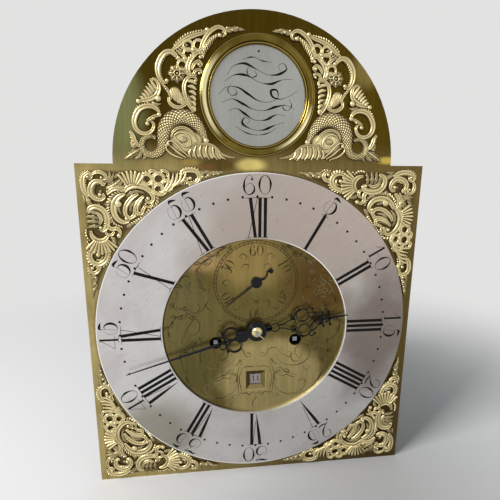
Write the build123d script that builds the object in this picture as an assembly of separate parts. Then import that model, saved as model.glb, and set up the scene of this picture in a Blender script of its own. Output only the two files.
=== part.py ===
from build123d import *

import os
from math import atan2, cos, degrees, hypot, radians, sin, sqrt

# Head of a longcase clock: arched brass dial with a two-train movement and bell.
# Millimetres. X to the right seen from the front, Y to the back, Z up.
# Everything is drawn about the centre arbor (x = 0, z = 0), with y = 0 in the middle of the front plate,
# and is lifted at the end so that the origin lies at the bottom edge of the front plate.

# Dial
DIAL_THICKNESS = 2.3
BOSS_OUTER_RADIUS = 49.0
BOSS_INNER_RADIUS = 40.0
BOSS_RELIEF = 4.0
BOSS_DISC_THICKNESS = 1.2
RING_OUTER_RADIUS = 145.9
RING_EDGE = 6.5
HALF_WIDTH = RING_OUTER_RADIUS + RING_EDGE
DIAL_WIDTH = 2 * HALF_WIDTH
ARCH_STEP = 30.9
ARCH_RADIUS = HALF_WIDTH - ARCH_STEP
BOSS_RISE = 55.2
BOSS_HEIGHT = HALF_WIDTH + BOSS_RISE
RING_INNER_RADIUS = 87.4
RING_THICKNESS = 2.0
RING_FOOT_RADIUS = 2.0
RING_FOOT_LENGTH = 4.0
CASTING_THICKNESS = 3.2
CASTING_MARGIN = 4.5
CASTING_GAP = 1.4
SPANDREL_REACH = 0.2034 * HALF_WIDTH
SPANDREL_DROP = 0.2362 * HALF_WIDTH
CORNER_SCREW_SHARE = 1.1024
ARCH_SCREW_SHARES = (0.675, 0.425)
# Pierced holes: across, up and radius, as shares of the half width in a corner
# and of the arch's radius above
CORNER_HOLES = [
    (-0.5512, 0.8990, 0.0197), (-0.6365, 0.8727, 0.0276), (-0.7087, 0.8071, 0.0262),
    (-0.8202, 0.9121, 0.0210), (-0.4593, 0.9121, 0.0157),
]
ARCH_HOLES = [
    (-0.7490, 0.1284, 0.0362), (-0.7737, 0.3095, 0.0329), (-0.6255, 0.5728, 0.0329),
    (-0.4774, 0.6881, 0.0263), (-0.5432, 0.2601, 0.0247),
]
DOLPHIN_START = 13.0
CASTING_SCREW_RADIUS = 1.2
CASTING_SCREW_HEAD = 2.6
CASTING_SCREW_HEAD_THICKNESS = 1.4
DATE_SLOT_WIDTH = 10.6
DATE_SLOT_HEIGHT = 11.0
DATE_BEVEL_WIDTH = 20.0
DATE_BEVEL_HEIGHT = 21.2
DATE_SLOT_DROP = 53.5
DIAL_CENTRE_HOLE = 6.4
SECONDS_HOLE = 2.2
WINDING_HOLE_RADIUS = 5.9

# Movement frame
PLATE_WIDTH = 154.0
PLATE_TOP = 95.0
PLATE_BOTTOM = 62.0
PLATE_THICKNESS = 3.2
PILLAR_LENGTH = 63.0
PILLAR_SIDE_EDGE = 7.0
PILLAR_TOP_EDGE = 8.0
PILLAR_BOTTOM_EDGE = 10.0
PILLAR_X = PLATE_WIDTH / 2 - PILLAR_SIDE_EDGE
PILLAR_TOP = PLATE_TOP - PILLAR_TOP_EDGE
PILLAR_BOTTOM = PLATE_BOTTOM - PILLAR_BOTTOM_EDGE
PILLAR_RADIUS = 5.0
PILLAR_KNOB_RADIUS = 8.0
PILLAR_KNOB_LENGTH = 15.0
PILLAR_TENON_RADIUS = 3.6
TENON_STANDOUT = 6.0
SEAT_BOLT_RADIUS = 2.4
SEAT_BOLT_DEPTH = 11.0
DIAL_GAP = 36.0
FOOT_SIDE_EDGE = 13.0
FOOT_TOP_EDGE = 27.0
FOOT_BOTTOM_EDGE = 25.0
FOOT_X = PLATE_WIDTH / 2 - FOOT_SIDE_EDGE
FOOT_TOP = PLATE_TOP - FOOT_TOP_EDGE
FOOT_BOTTOM = PLATE_BOTTOM - FOOT_BOTTOM_EDGE
FOOT_RADIUS = 3.2
TAPER_PIN_RADIUS = 0.9
TAPER_PIN_LENGTH = 15.0
PIN_HOLE_OVERRUN = 2.0
FOOT_FLANGE_WIDTH = 2.0
FOOT_FLANGE_THICKNESS = 2.0
PILLAR_COLLAR_WIDTH = 2.0
PILLAR_COLLAR_LENGTH = 5.0
PILLAR_NECK_START = 8.0
PILLAR_NECK_DEPTH = 1.0
PILLAR_KNOB_SLOPE = 2.0
STUD_RADIUS = 2.0
STUD_SHOULDER = 1.0
MINUTE_STUD_RADIUS = 1.1
MINUTE_STUD_END = 5.6
RACK_STUD_END = 18.6
SHORT_STUD_END = 8.6
SCREW_RADIUS = 1.5
SCREW_HEAD_RADIUS = 2.8
SCREW_HEAD_THICKNESS = 1.6
SCREW_SLOT_WIDTH = 0.7
SCREW_SLOT_DEPTH = 0.7
SCREW_SLOT_TURN = 35.0

# Bridge for the motion work, cock and crutch
BRIDGE_X = 21.0
BRIDGE_FOOT = 8.0
BRIDGE_PIPE_RADIUS = 4.4
BRIDGE_PIPE_END = 26.0
CANNON_RADIUS = 2.9
CANNON_SQUARE = 4.4
HOUR_PIPE_RADIUS = 5.6
HOUR_SHOULDER_RADIUS = 4.9
COCK_X = 25.0
COCK_DEPTH = 22.0
COCK_THICKNESS = 3.0
COCK_HEIGHT = 10.0
COCK_FOOT = 9.0
TONGUE_WIDTH = 9.0
TONGUE_HEIGHT = 12.0
TONGUE_RISE = 3.0
TONGUE_LENGTH = 9.0
SUSPENSION_SLOT = 0.8
SUSPENSION_START, SUSPENSION_END = 3.0, 8.0
CRUTCH_HOLE = 5.0
CRUTCH_LENGTH = 96.0
CRUTCH_DEPTH = 6.0
CRUTCH_WIDTH = 2.4
FORK_WIDTH = 11.0
FORK_HEIGHT = 3.4
FORK_PRONG = 2.2
FORK_REACH = 17.0

# Fits, radial, and the room left along an arbor
RUNNING = 0.05
SNUG = 0.02
ARBOR_SHAKE = 0.6
PIVOT_STANDOUT = 0.4
PIVOT_ROOT = 1.0

# Arbors
ARBOR_RADIUS = 1.9
PIVOT_RADIUS = 0.9
CENTRE_ROD_RADIUS = 1.9
GATHER_FRONT_RADIUS = 1.4
SECONDS_HEIGHT = 46.2
PALLET_RISE = 26.2
BARREL_X = 38.3
BARREL_DROP = 12.5
BARREL_RADIUS = 26.0
BARREL_BEARING_RADIUS = 4.2
BARREL_ARBOR_RADIUS = 5.0
BARREL_GROOVES = 13
GROOVE_DEPTH = 0.7
WINDING_SQUARE = 4.2
WINDING_RECESS = 2.0
RATCHET_RADIUS = 19.0
RATCHET_TEETH = 30
RATCHET_TOOTH_DEPTH = 2.0
CLICK_RADIUS = 3.0
CLICK_NOSE_RADIUS = 0.9
CLICK_PIVOT_RADIUS = 1.4
CLICK_DISTANCE = 26.5
CLICK_DIRECTION = 215.0
CLICK_SPREAD = 38.0
CLICK_GAP = 0.35
CLICK_CUT = 0.3

# Wheels: teeth, leaves and modules
GREAT_TEETH, GREAT_MODULE, GREAT_LEAVES = 96, 0.775, 8
CENTRE_TEETH, CENTRE_MODULE, CENTRE_LEAVES = 60, 0.78, 8
THIRD_TEETH, THIRD_MODULE, THIRD_LEAVES = 56, 0.72, 7
STRIKE_TEETH, STRIKE_MODULE, STRIKE_LEAVES = 84, 0.775, 8
PIN_TEETH, PIN_MODULE, PIN_LEAVES = 56, 0.65, 7
GATHER_TEETH, GATHER_MODULE, GATHER_LEAVES = 49, 0.60, 7
WARN_TEETH, WARN_MODULE, WARN_LEAVES = 49, 0.55, 7
MOTION_TEETH, MOTION_MODULE = 36, 0.736
HOUR_TEETH, HOUR_MODULE, HOUR_LEAVES = 72, 0.6795, 6
DAY_TEETH, DAY_DRIVER_TEETH, DAY_MODULE = 60, 30, 0.70
WHEEL_THICKNESS = 2.0
GREAT_THICKNESS = 3.0
MOTION_THICKNESS = 1.5
RIM_WIDTH = 3.4
ARM_WIDTH = 2.6
HUB_RADIUS = 4.6
ESCAPE_TEETH = 30
ESCAPE_RADIUS = 19.0
ESCAPE_ROOT = 15.2
ESCAPE_RIM_WIDTH = 2.4
PALLET_CLEARANCE = 1.4
PALLET_HUB_RADIUS = 4.6
PALLET_ROOT_RADIUS = 4.0
PALLET_ARM_RADIUS = 2.4
PALLET_NIB_RADIUS = 2.2
PALLET_TIP_RADIUS = 0.8
PALLET_OVERHANG = 1.0
TOOTH_SHARE, TOOTH_ADDENDUM, TOOTH_DEDENDUM = 0.38, 1.0, 1.35
LEAF_SHARE, LEAF_ADDENDUM, LEAF_DEDENDUM = 0.30, 0.55, 1.45

# Directions of the arbors from one another, in degrees anticlockwise from the right seen from the front
PIN_DIRECTION = 102.5
GATHER_DIRECTION = 38.4
WARN_DIRECTION = 96.8
FLY_DIRECTION = 105.0
MINUTE_WHEEL_DIRECTION = -58.1
DAY_WHEEL_DIRECTION = 251.5

# Depths of the wheels behind the inner face of the front plate
BARREL_FRONT, BARREL_BACK = 4.0, 44.0
RATCHET_FRONT, RATCHET_BACK = 44.0, 46.5
GREAT_FRONT = 47.2
CENTRE_WHEEL_FRONT = 55.0
THIRD_WHEEL_FRONT = 20.0
ESCAPE_WHEEL_FRONT = 40.0
PIN_WHEEL_FRONT = 53.0
GATHER_WHEEL_FRONT = 30.0
WARN_WHEEL_FRONT = 14.0
FLY_FRONT, FLY_BACK = 24.0, 50.0
PINION_OVERHANG = 1.6

# Depths of the motion work ahead of the front plate
CANNON_START = 3.0
BRIDGE_START, BRIDGE_THICKNESS = 7.0, 2.0
HOUR_WHEEL_START = 11.2
SNAIL_START = 13.6
DAY_WHEEL_START = 27.0
RACK_START = 5.4
RACK_THICKNESS = 1.5
TAIL_START = 15.6

# Hands
MINUTE_ANGLE = 253.0
HOUR_ANGLE = 82.0
SECONDS_ANGLE = 231.5
MINUTE_LENGTH = 126.0
HOUR_LENGTH = 89.0
SECONDS_LENGTH = 36.5
SECONDS_TAIL = 16.0
HAND_THICKNESS = 1.2
SECONDS_HAND_THICKNESS = 0.8
SECONDS_HAND_LIFT = 1.6
HOUR_HAND_LIFT = 3.6
MINUTE_HAND_LIFT = 6.4
MINUTE_HUB_RADIUS = 9.3
COLLET_RADIUS = 5.0
COLLET_HEIGHT = 2.6
ARBOR_STANDOUT = 2.4
HAND_PIN_RADIUS = 0.7
HAND_PIN_LENGTH = 13.0
HAND_PIN_SHIFT = 1.5
PIN_TURN = 42.0
COLLET_SEAT = MINUTE_HAND_LIFT + HAND_THICKNESS
ARBOR_END = COLLET_SEAT + COLLET_HEIGHT + ARBOR_STANDOUT

# Striking work
RACK_X, RACK_DROP = 52.0, 40.0
RACK_TEETH = 14
RACK_STEP = 1.34
RACK_TOOTH_DEPTH = 1.2
RACK_TIP_GAP = 3.6
RACK_SECTOR_DEPTH = 6.0
RACK_ARM_DIRECTION = 83.0
RACK_ARM_WIDTH = 4.4
RACK_TAIL_WIDTH = 3.4
RACK_HUB_RADIUS = 5.0
LEVER_HUB_RADIUS = 4.4
LEVER_PIPE_RADIUS = 4.0
LEVER_PIPE_START = 1.2
TAIL_PIN_RADIUS = 1.0
TAIL_PIN_WAIT = 0.4
GATHER_HUB_RADIUS = 2.6
GATHER_TAIL_GAP = 0.6
STRIKE_PINS = 8
STRIKE_PIN_CIRCLE = 15.0
STRIKE_PIN_RADIUS = 0.8
STRIKE_PIN_LENGTH = 4.0
FLY_WIDTH = 22.0
FLY_THICKNESS = 0.8
FLY_TURN = 25.0
FLY_HUB_WALL = 0.8
FLY_HUB_START, FLY_HUB_END = 9.0, 17.0
SNAIL_STEPS = 12
SNAIL_LARGE_RADIUS = 24.0
TAIL_LENGTH = 63.0
BELL_RADIUS = 54.0
BELL_HEIGHT = 36.0
BELL_WALL = 2.4
BELL_LIFT = 5.0
BELL_DEPTH = 36.0
HAMMER_X, HAMMER_Z = 56.0, 60.0
HAMMER_HEAD_LENGTH = 12.0
HAMMER_GAP = 1.8
HAMMER_HEAD_RADIUS = 5.0
HAMMER_HEAD_RISE = 6.0
HAMMER_STEM_RADIUS = 1.8
HAMMER_HUB_WALL = 1.6
HAMMER_HUB_HALF = 4.0
HAMMER_TAIL_WIDTH = 3.0
HAMMER_TAIL_THICKNESS = 2.4
HAMMER_TAIL_GAP = 0.7
HAMMER_WHEEL_GAP = 1.2
BELL_SHOULDER = 0.62
BELL_CROWN_RADIUS = 5.0
BELL_FOOT_X = 22.0
BELL_FOOT_Z = 88.0
BELL_FOOT_THICKNESS = 8.0
BELL_FOOT_WIDTH = 13.0
BELL_FOOT_HEIGHT = 12.0
BELL_ROD_RADIUS = 2.5
BELL_ROD_START = 4.0
BELL_ROD_RISE = 7.0
BELL_ROD_BEND = 6.0
BELL_ROD_STANDOUT = 6.0
BELL_COLLAR_RADIUS = 4.4
BELL_COLLAR_THICKNESS = 3.0
BELL_NUT_RADIUS = 5.2
BELL_NUT_THICKNESS = 4.0

# Date work
DATE_DISC_RADIUS = 49.5
DATE_NUMERAL_RADIUS = 42.5
DATE_DISC_THICKNESS = 1.2
DATE_DISC_GAP = 0.8
DATE_TEETH = 31
DATE_TOOTH_DEPTH = 2.6
DATE_STUD_RADIUS = 3.0
DATE_DISC_FRONT = DIAL_GAP - DATE_DISC_GAP
DAY_PIN_RADIUS = 1.0
DAY_PIN_CIRCLE = 14.6
DAY_PIN_DIRECTION = 150.0
DAY_STUD_RADIUS = 2.0
DAY_HUB_RADIUS = 4.0
DAY_HUB_GAP = 2.4

FRONT_FACE = -PLATE_THICKNESS / 2
INNER_FACE = PLATE_THICKNESS / 2
BACK_INNER = INNER_FACE + PILLAR_LENGTH
BACK_OUTER = BACK_INNER + PLATE_THICKNESS
DIAL_BACK = FRONT_FACE - DIAL_GAP
DIAL_FRONT = DIAL_BACK - DIAL_THICKNESS
HAND_PIN_Y = DIAL_FRONT - (COLLET_SEAT + COLLET_HEIGHT + HAND_PIN_RADIUS + SNUG)


def polar(origin, distance, direction):
    """Point at a distance and direction (degrees) from an origin."""
    x, z = origin
    return x + distance * cos(radians(direction)), z + distance * sin(radians(direction))


def heading(start, end):
    """Direction from one point to another, in degrees."""
    return degrees(atan2(end[1] - start[1], end[0] - start[0]))


def meshing(teeth, leaves, module):
    """Centre distance of a wheel and its mate."""
    return (teeth + leaves) * module / 2


CENTRE = (0.0, 0.0)
RIGHT = (BARREL_X, -BARREL_DROP)
LEFT = (-BARREL_X, -BARREL_DROP)


def meeting_point(first, first_radius, second, second_radius):
    """The right-hand crossing of two circles about points one above the other."""
    gap = second[1] - first[1]
    along = (gap**2 + first_radius**2 - second_radius**2) / (2 * gap)
    return first[0] + sqrt(first_radius**2 - along**2), first[1] + along


ESCAPE = (0.0, SECONDS_HEIGHT)
THIRD = meeting_point(
    CENTRE,
    meshing(CENTRE_TEETH, CENTRE_LEAVES, CENTRE_MODULE),
    ESCAPE,
    meshing(THIRD_TEETH, THIRD_LEAVES, THIRD_MODULE),
)
PALLET = (0.0, SECONDS_HEIGHT + PALLET_RISE)
PIN = polar(LEFT, meshing(STRIKE_TEETH, STRIKE_LEAVES, STRIKE_MODULE), PIN_DIRECTION)
GATHER = polar(PIN, meshing(PIN_TEETH, PIN_LEAVES, PIN_MODULE), GATHER_DIRECTION)
WARN = polar(GATHER, meshing(GATHER_TEETH, GATHER_LEAVES, GATHER_MODULE), WARN_DIRECTION)
FLY = polar(WARN, meshing(WARN_TEETH, WARN_LEAVES, WARN_MODULE), FLY_DIRECTION)
MINUTE = polar(CENTRE, MOTION_TEETH * MOTION_MODULE, MINUTE_WHEEL_DIRECTION)
DAY = polar(CENTRE, meshing(DAY_TEETH, DAY_DRIVER_TEETH, DAY_MODULE), DAY_WHEEL_DIRECTION)
DATE = (0.0, -DATE_SLOT_DROP - DATE_NUMERAL_RADIUS)
RACK = (-RACK_X, -RACK_DROP)
HOOK = (24.0, 40.0)
LIFTER = (47.0, 12.0)
HAMMER = (-HAMMER_X, HAMMER_Z)
BOSS = (0.0, BOSS_HEIGHT)


def inside(depth):
    """Y of a depth behind the front plate."""
    return INNER_FACE + depth


def ahead(depth):
    """Y of a depth in front of the front plate."""
    return FRONT_FACE - depth


def before_dial(depth):
    """Y of a height in front of the dial."""
    return DIAL_FRONT - depth


def slab(sketch, back, front):
    """A flat piece drawn as seen from the front, between two values of Y."""
    plane = Plane((0, back, 0), x_dir=(1, 0, 0), z_dir=(0, -1, 0))
    return extrude(plane * sketch, back - front)


def disc(point, radius):
    """A round sketch at a point."""
    return Pos(*point) * Circle(radius)


def rod(point, radius, start, end):
    """A cylinder along Y."""
    low, high = min(start, end), max(start, end)
    return slab(disc(point, radius), high, low)


def turned(point, profile):
    """A solid of revolution about Y at a point, from (radius, y) pairs."""
    outline = Polygon(*[(radius, y) for radius, y in profile], align=None)
    solid = revolve(outline, Axis.Y)
    return Pos(point[0], 0, point[1]) * solid


def bar(start, end, width):
    """A straight strip with round ends."""
    return make_hull((disc(start, width / 2) + disc(end, width / 2)).edges())


def strip(points, width):
    """A chain of straight bars."""
    chain = bar(points[0], points[1], width)
    for start, end in zip(points[1:], points[2:]):
        chain += bar(start, end, width)
    return chain


def toothed(teeth, module, first, share, addendum, dedendum):
    """A gear outline with radial flanks and arched tips; first is the direction of one tooth."""
    pitch_radius = teeth * module / 2
    half = share * 180 / teeth
    side = [
        (pitch_radius - dedendum * module, half),
        (pitch_radius, half),
        (pitch_radius + 0.6 * addendum * module, 0.7 * half),
        (pitch_radius + addendum * module, 0.25 * half),
    ]
    points = []
    for tooth in range(teeth):
        middle = first + tooth * 360 / teeth
        points += [polar(CENTRE, radius, middle - turn) for radius, turn in side]
        points += [polar(CENTRE, radius, middle + turn) for radius, turn in reversed(side)]
    return Polygon(*points, align=None)


def crossings(rim_radius, turn):
    """The four openings between the arms of a wheel."""
    opening = Circle(rim_radius) - Circle(HUB_RADIUS)
    for arm in (0, 90):
        opening -= Rot(0, 0, turn + arm) * Rectangle(3 * rim_radius, ARM_WIDTH)
    return opening


def wheel(point, teeth, module, mate, bore, crossed=True):
    """A wheel with one tooth towards its mate."""
    first = heading(point, mate)
    sketch = toothed(teeth, module, first, TOOTH_SHARE, TOOTH_ADDENDUM, TOOTH_DEDENDUM)
    if crossed:
        rim = teeth * module / 2 - TOOTH_DEDENDUM * module - RIM_WIDTH
        sketch -= crossings(rim, first + 45)
    return Pos(*point) * (sketch - Circle(bore))


def pinion(point, leaves, module, mate):
    """A pinion with one gap towards its mate."""
    first = heading(point, mate) + 180 / leaves
    sketch = toothed(leaves, module, first, LEAF_SHARE, LEAF_ADDENDUM, LEAF_DEDENDUM)
    return Pos(*point) * sketch


def pinion_depths(wheel_front, thickness):
    """Depths of a pinion that overhangs the wheel it meshes with."""
    return wheel_front - PINION_OVERHANG, wheel_front + thickness + PINION_OVERHANG


def arbor(point, front_pivot=True):
    """A plain arbor with a pivot in each plate."""
    body = rod(point, ARBOR_RADIUS, inside(ARBOR_SHAKE), inside(PILLAR_LENGTH - ARBOR_SHAKE))
    body += rod(point, PIVOT_RADIUS, inside(PILLAR_LENGTH - PIVOT_ROOT), BACK_OUTER + PIVOT_STANDOUT)
    if front_pivot:
        body += rod(point, PIVOT_RADIUS, FRONT_FACE - PIVOT_STANDOUT, inside(PIVOT_ROOT))
    return body


def pinion_arbor(point, leaves, module, mate, depths, front_pivot=True):
    """An arbor with its pinion cut in it."""
    start, end = depths
    body = arbor(point, front_pivot)
    body -= rod(point, 3 * ARBOR_RADIUS, inside(start), inside(end))
    return body + slab(pinion(point, leaves, module, mate), inside(end), inside(start))


# Dial

def dial_outline():
    square = Rectangle(DIAL_WIDTH, DIAL_WIDTH)
    return square + disc((0, HALF_WIDTH), ARCH_RADIUS)


def quarter_points(radius):
    """Four points on the diagonals."""
    return [polar(CENTRE, radius, 45 + 90 * n) for n in range(4)]


RING_FEET = quarter_points((RING_OUTER_RADIUS + RING_INNER_RADIUS) / 2)
CORNER_SCREWS = quarter_points(CORNER_SCREW_SHARE * HALF_WIDTH)
ARCH_SCREW_X, ARCH_SCREW_RISE = [share * ARCH_RADIUS for share in ARCH_SCREW_SHARES]
ARCH_SCREWS = [(x, HALF_WIDTH + ARCH_SCREW_RISE) for x in (-ARCH_SCREW_X, ARCH_SCREW_X)]
DIAL_FEET = [(x, z) for x in (-FOOT_X, FOOT_X) for z in (-FOOT_BOTTOM, FOOT_TOP)]
PILLARS = [(x, z) for x in (-PILLAR_X, PILLAR_X) for z in (-PILLAR_BOTTOM, PILLAR_TOP)]


def dial_plate():
    outline = dial_outline() - disc(CENTRE, DIAL_CENTRE_HOLE) - disc(ESCAPE, SECONDS_HOLE)
    for point in (LEFT, RIGHT):
        outline -= disc(point, WINDING_HOLE_RADIUS)
    for point in RING_FEET:
        outline -= disc(point, RING_FOOT_RADIUS + SNUG)
    for point in CORNER_SCREWS + ARCH_SCREWS:
        outline -= disc(point, CASTING_SCREW_RADIUS + SNUG)
    plate = slab(outline, DIAL_BACK, DIAL_FRONT)
    front = Plane((0, DIAL_FRONT, -DATE_SLOT_DROP), x_dir=(1, 0, 0), z_dir=(0, -1, 0))
    back = front.offset(-DIAL_THICKNESS)
    bevel = loft([
        back * Rectangle(DATE_SLOT_WIDTH, DATE_SLOT_HEIGHT),
        front * Rectangle(DATE_BEVEL_WIDTH, DATE_BEVEL_HEIGHT),
    ])
    return plate - bevel


def chapter_ring():
    band = Circle(RING_OUTER_RADIUS) - Circle(RING_INNER_RADIUS)
    ring = slab(band, DIAL_FRONT, before_dial(RING_THICKNESS))
    for point in RING_FEET:
        ring += rod(point, RING_FOOT_RADIUS, DIAL_FRONT, DIAL_BACK + RING_FOOT_LENGTH)
    return ring


def arch_boss_ring():
    """A half-round moulding."""
    width = BOSS_OUTER_RADIUS - BOSS_INNER_RADIUS
    middle = BOSS_INNER_RADIUS + width / 2
    crown = [
        (middle + width / 2 * cos(radians(a)), before_dial(BOSS_RELIEF * sin(radians(a))))
        for a in range(0, 181, 20)
    ]
    return turned(BOSS, crown)


def arch_boss_disc():
    sketch = disc(BOSS, BOSS_INNER_RADIUS - SNUG)
    return slab(sketch, DIAL_FRONT, before_dial(BOSS_DISC_THICKNESS))


def corner_spandrel(quarter):
    """Pierced casting of the top left corner, turned by quarters for the others."""
    outer = HALF_WIDTH - CASTING_MARGIN
    corner = Pos(-(outer + SPANDREL_REACH) / 2, (outer + SPANDREL_DROP) / 2)
    body = corner * Rectangle(outer - SPANDREL_REACH, outer - SPANDREL_DROP)
    body -= Circle(RING_OUTER_RADIUS + CASTING_GAP)
    for hole in CORNER_HOLES:
        x, z, radius = [share * HALF_WIDTH for share in hole]
        body -= disc((x, z), radius)
        body -= disc((-z, -x), radius)
    casting = slab(body, DIAL_FRONT, before_dial(CASTING_THICKNESS))
    return Rot(0, 90 * quarter, 0) * casting


def arch_dolphin():
    """Pierced casting of the left half of the arch."""
    field = disc((0, HALF_WIDTH), ARCH_RADIUS - CASTING_MARGIN)
    field -= Pos(0, CASTING_GAP) * Rectangle(DIAL_WIDTH, DIAL_WIDTH)
    field -= Pos(DIAL_WIDTH / 2 - DOLPHIN_START, BOSS_HEIGHT) * Rectangle(DIAL_WIDTH, DIAL_WIDTH)
    field -= disc(BOSS, BOSS_OUTER_RADIUS + CASTING_GAP)
    for hole in ARCH_HOLES:
        x, rise, radius = [share * ARCH_RADIUS for share in hole]
        field -= disc((x, HALF_WIDTH + rise), radius)
    return slab(field, DIAL_FRONT, before_dial(CASTING_THICKNESS))


def spandrel_screws():
    """Screws through the plate into the castings, with their heads behind."""
    screws = []
    for point in CORNER_SCREWS + ARCH_SCREWS:
        shank = rod(point, CASTING_SCREW_RADIUS, DIAL_BACK, DIAL_FRONT)
        head_back = DIAL_BACK + CASTING_SCREW_HEAD_THICKNESS
        screws.append(shank + rod(point, CASTING_SCREW_HEAD, DIAL_BACK, head_back))
    return Compound(children=screws)


def dial_feet():
    feet = []
    for point in DIAL_FEET:
        foot = rod(point, FOOT_RADIUS, DIAL_BACK, INNER_FACE + TENON_STANDOUT)
        foot += rod(point, FOOT_RADIUS + FOOT_FLANGE_WIDTH, DIAL_BACK, DIAL_BACK + FOOT_FLANGE_THICKNESS)
        feet.append(foot - cross_hole(point, INNER_FACE + TENON_STANDOUT / 2))
    return Compound(children=feet)


def cross_hole(point, y, radius=TAPER_PIN_RADIUS + SNUG):
    """A hole across a foot or tenon, along X."""
    x, z = point
    return Pos(x, y, z) * Rot(0, 90, 0) * Cylinder(radius, TAPER_PIN_LENGTH + 2 * PIN_HOLE_OVERRUN)


def taper_pin(point, y):
    """A taper pin across a foot or tenon, along X."""
    x, z = point
    cone = Cone(TAPER_PIN_RADIUS, 0.7 * TAPER_PIN_RADIUS, TAPER_PIN_LENGTH)
    return Pos(x, y, z) * Rot(0, 90, 0) * cone


def taper_pins():
    pins = [taper_pin(point, INNER_FACE + TENON_STANDOUT / 2) for point in DIAL_FEET]
    pins += [taper_pin(point, FRONT_FACE - TENON_STANDOUT / 2) for point in PILLARS]
    return Compound(children=pins)


# Movement frame

def plate_outline():
    height = PLATE_TOP + PLATE_BOTTOM
    return Pos(0, (PLATE_TOP - PLATE_BOTTOM) / 2) * Rectangle(PLATE_WIDTH, height)


def movement_plate(holes, back, front):
    outline = plate_outline()
    for point, radius in holes:
        outline -= disc(point, radius)
    return slab(outline, back, front)


PLAIN_ARBORS = [THIRD, PIN, WARN, FLY, HAMMER]


def front_plate():
    holes = [(point, PIVOT_RADIUS + RUNNING) for point in PLAIN_ARBORS + [PALLET]]
    holes += [(point, GATHER_FRONT_RADIUS + RUNNING) for point in (GATHER, ESCAPE)]
    holes += [(CENTRE, CENTRE_ROD_RADIUS + RUNNING)]
    holes += [(point, BARREL_BEARING_RADIUS + RUNNING) for point in (LEFT, RIGHT)]
    holes += [(point, PILLAR_TENON_RADIUS + SNUG) for point in PILLARS]
    holes += [(point, FOOT_RADIUS + SNUG) for point in DIAL_FEET]
    holes += [(point, STUD_RADIUS / 2 + SNUG) for point in (RACK, HOOK, LIFTER, MINUTE)]
    holes += [((x, 0), SCREW_RADIUS + SNUG) for x in (-BRIDGE_X, BRIDGE_X)]
    return movement_plate(holes, INNER_FACE, FRONT_FACE)


def back_plate():
    holes = [(point, PIVOT_RADIUS + RUNNING) for point in PLAIN_ARBORS + [GATHER, ESCAPE]]
    holes += [(CENTRE, PIVOT_RADIUS + RUNNING), (PALLET, CRUTCH_HOLE)]
    holes += [(point, BARREL_BEARING_RADIUS + RUNNING) for point in (LEFT, RIGHT)]
    holes += [((x, PALLET[1]), SCREW_RADIUS + SNUG) for x in (-COCK_X, COCK_X)]
    holes += [((BELL_FOOT_X, BELL_FOOT_Z), SCREW_RADIUS + SNUG)]
    return movement_plate(holes, BACK_OUTER, BACK_INNER)


def pillar(point, seat_hole):
    """A turned pillar, tenoned through the front plate."""
    middle = (INNER_FACE + BACK_INNER) / 2
    knob = PILLAR_KNOB_LENGTH / 2
    neck = PILLAR_RADIUS - PILLAR_NECK_DEPTH
    collar = PILLAR_RADIUS + PILLAR_COLLAR_WIDTH
    tip = FRONT_FACE - TENON_STANDOUT
    profile = [
        (0, tip), (PILLAR_TENON_RADIUS, tip), (PILLAR_TENON_RADIUS, INNER_FACE), (collar, INNER_FACE),
        (collar, INNER_FACE + PILLAR_COLLAR_LENGTH), (neck, INNER_FACE + PILLAR_NECK_START),
        (PILLAR_RADIUS, middle - knob - PILLAR_KNOB_SLOPE), (PILLAR_KNOB_RADIUS, middle - knob),
        (PILLAR_KNOB_RADIUS, middle + knob), (PILLAR_RADIUS, middle + knob + PILLAR_KNOB_SLOPE),
        (neck, BACK_INNER - PILLAR_NECK_START), (collar, BACK_INNER - PILLAR_COLLAR_LENGTH),
        (collar, BACK_INNER), (0, BACK_INNER),
    ]
    body = turned(point, profile) - cross_hole(point, FRONT_FACE - TENON_STANDOUT / 2)
    if seat_hole:
        depth = SEAT_BOLT_DEPTH
        low = point[1] - PILLAR_KNOB_RADIUS
        body -= Pos(point[0], middle, low + depth / 2 - 1) * Cylinder(SEAT_BOLT_RADIUS, depth + 2)
    return body


def movement_pillars():
    return Compound(children=[pillar(point, point[1] < 0) for point in PILLARS])


def back_cock():
    """A bridge behind the back plate for the pallet arbor, with the suspension slot."""
    outline = Pos(0, PALLET[1]) * Rectangle(2 * COCK_X + COCK_FOOT, COCK_HEIGHT)
    cock = slab(outline, BACK_OUTER + COCK_DEPTH, BACK_OUTER)
    hollow = Pos(0, PALLET[1]) * Rectangle(2 * COCK_X - COCK_FOOT, COCK_HEIGHT + 2)
    cock -= slab(hollow, BACK_OUTER + COCK_DEPTH - COCK_THICKNESS, BACK_OUTER)
    face = BACK_OUTER + COCK_DEPTH
    middle = Pos(0, PALLET[1] + TONGUE_RISE)
    tongue = slab(middle * Rectangle(TONGUE_WIDTH, TONGUE_HEIGHT), face + TONGUE_LENGTH, face)
    slot = middle * Rectangle(SUSPENSION_SLOT, TONGUE_HEIGHT + 1)
    cock += tongue - slab(slot, face + SUSPENSION_END, face + SUSPENSION_START)
    cock -= rod(PALLET, PIVOT_RADIUS + RUNNING, face + 2, face - COCK_THICKNESS - 2)
    for x in (-COCK_X, COCK_X):
        cock -= rod((x, PALLET[1]), SCREW_RADIUS + SNUG, BACK_OUTER + COCK_DEPTH, BACK_OUTER)
    return cock


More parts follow.
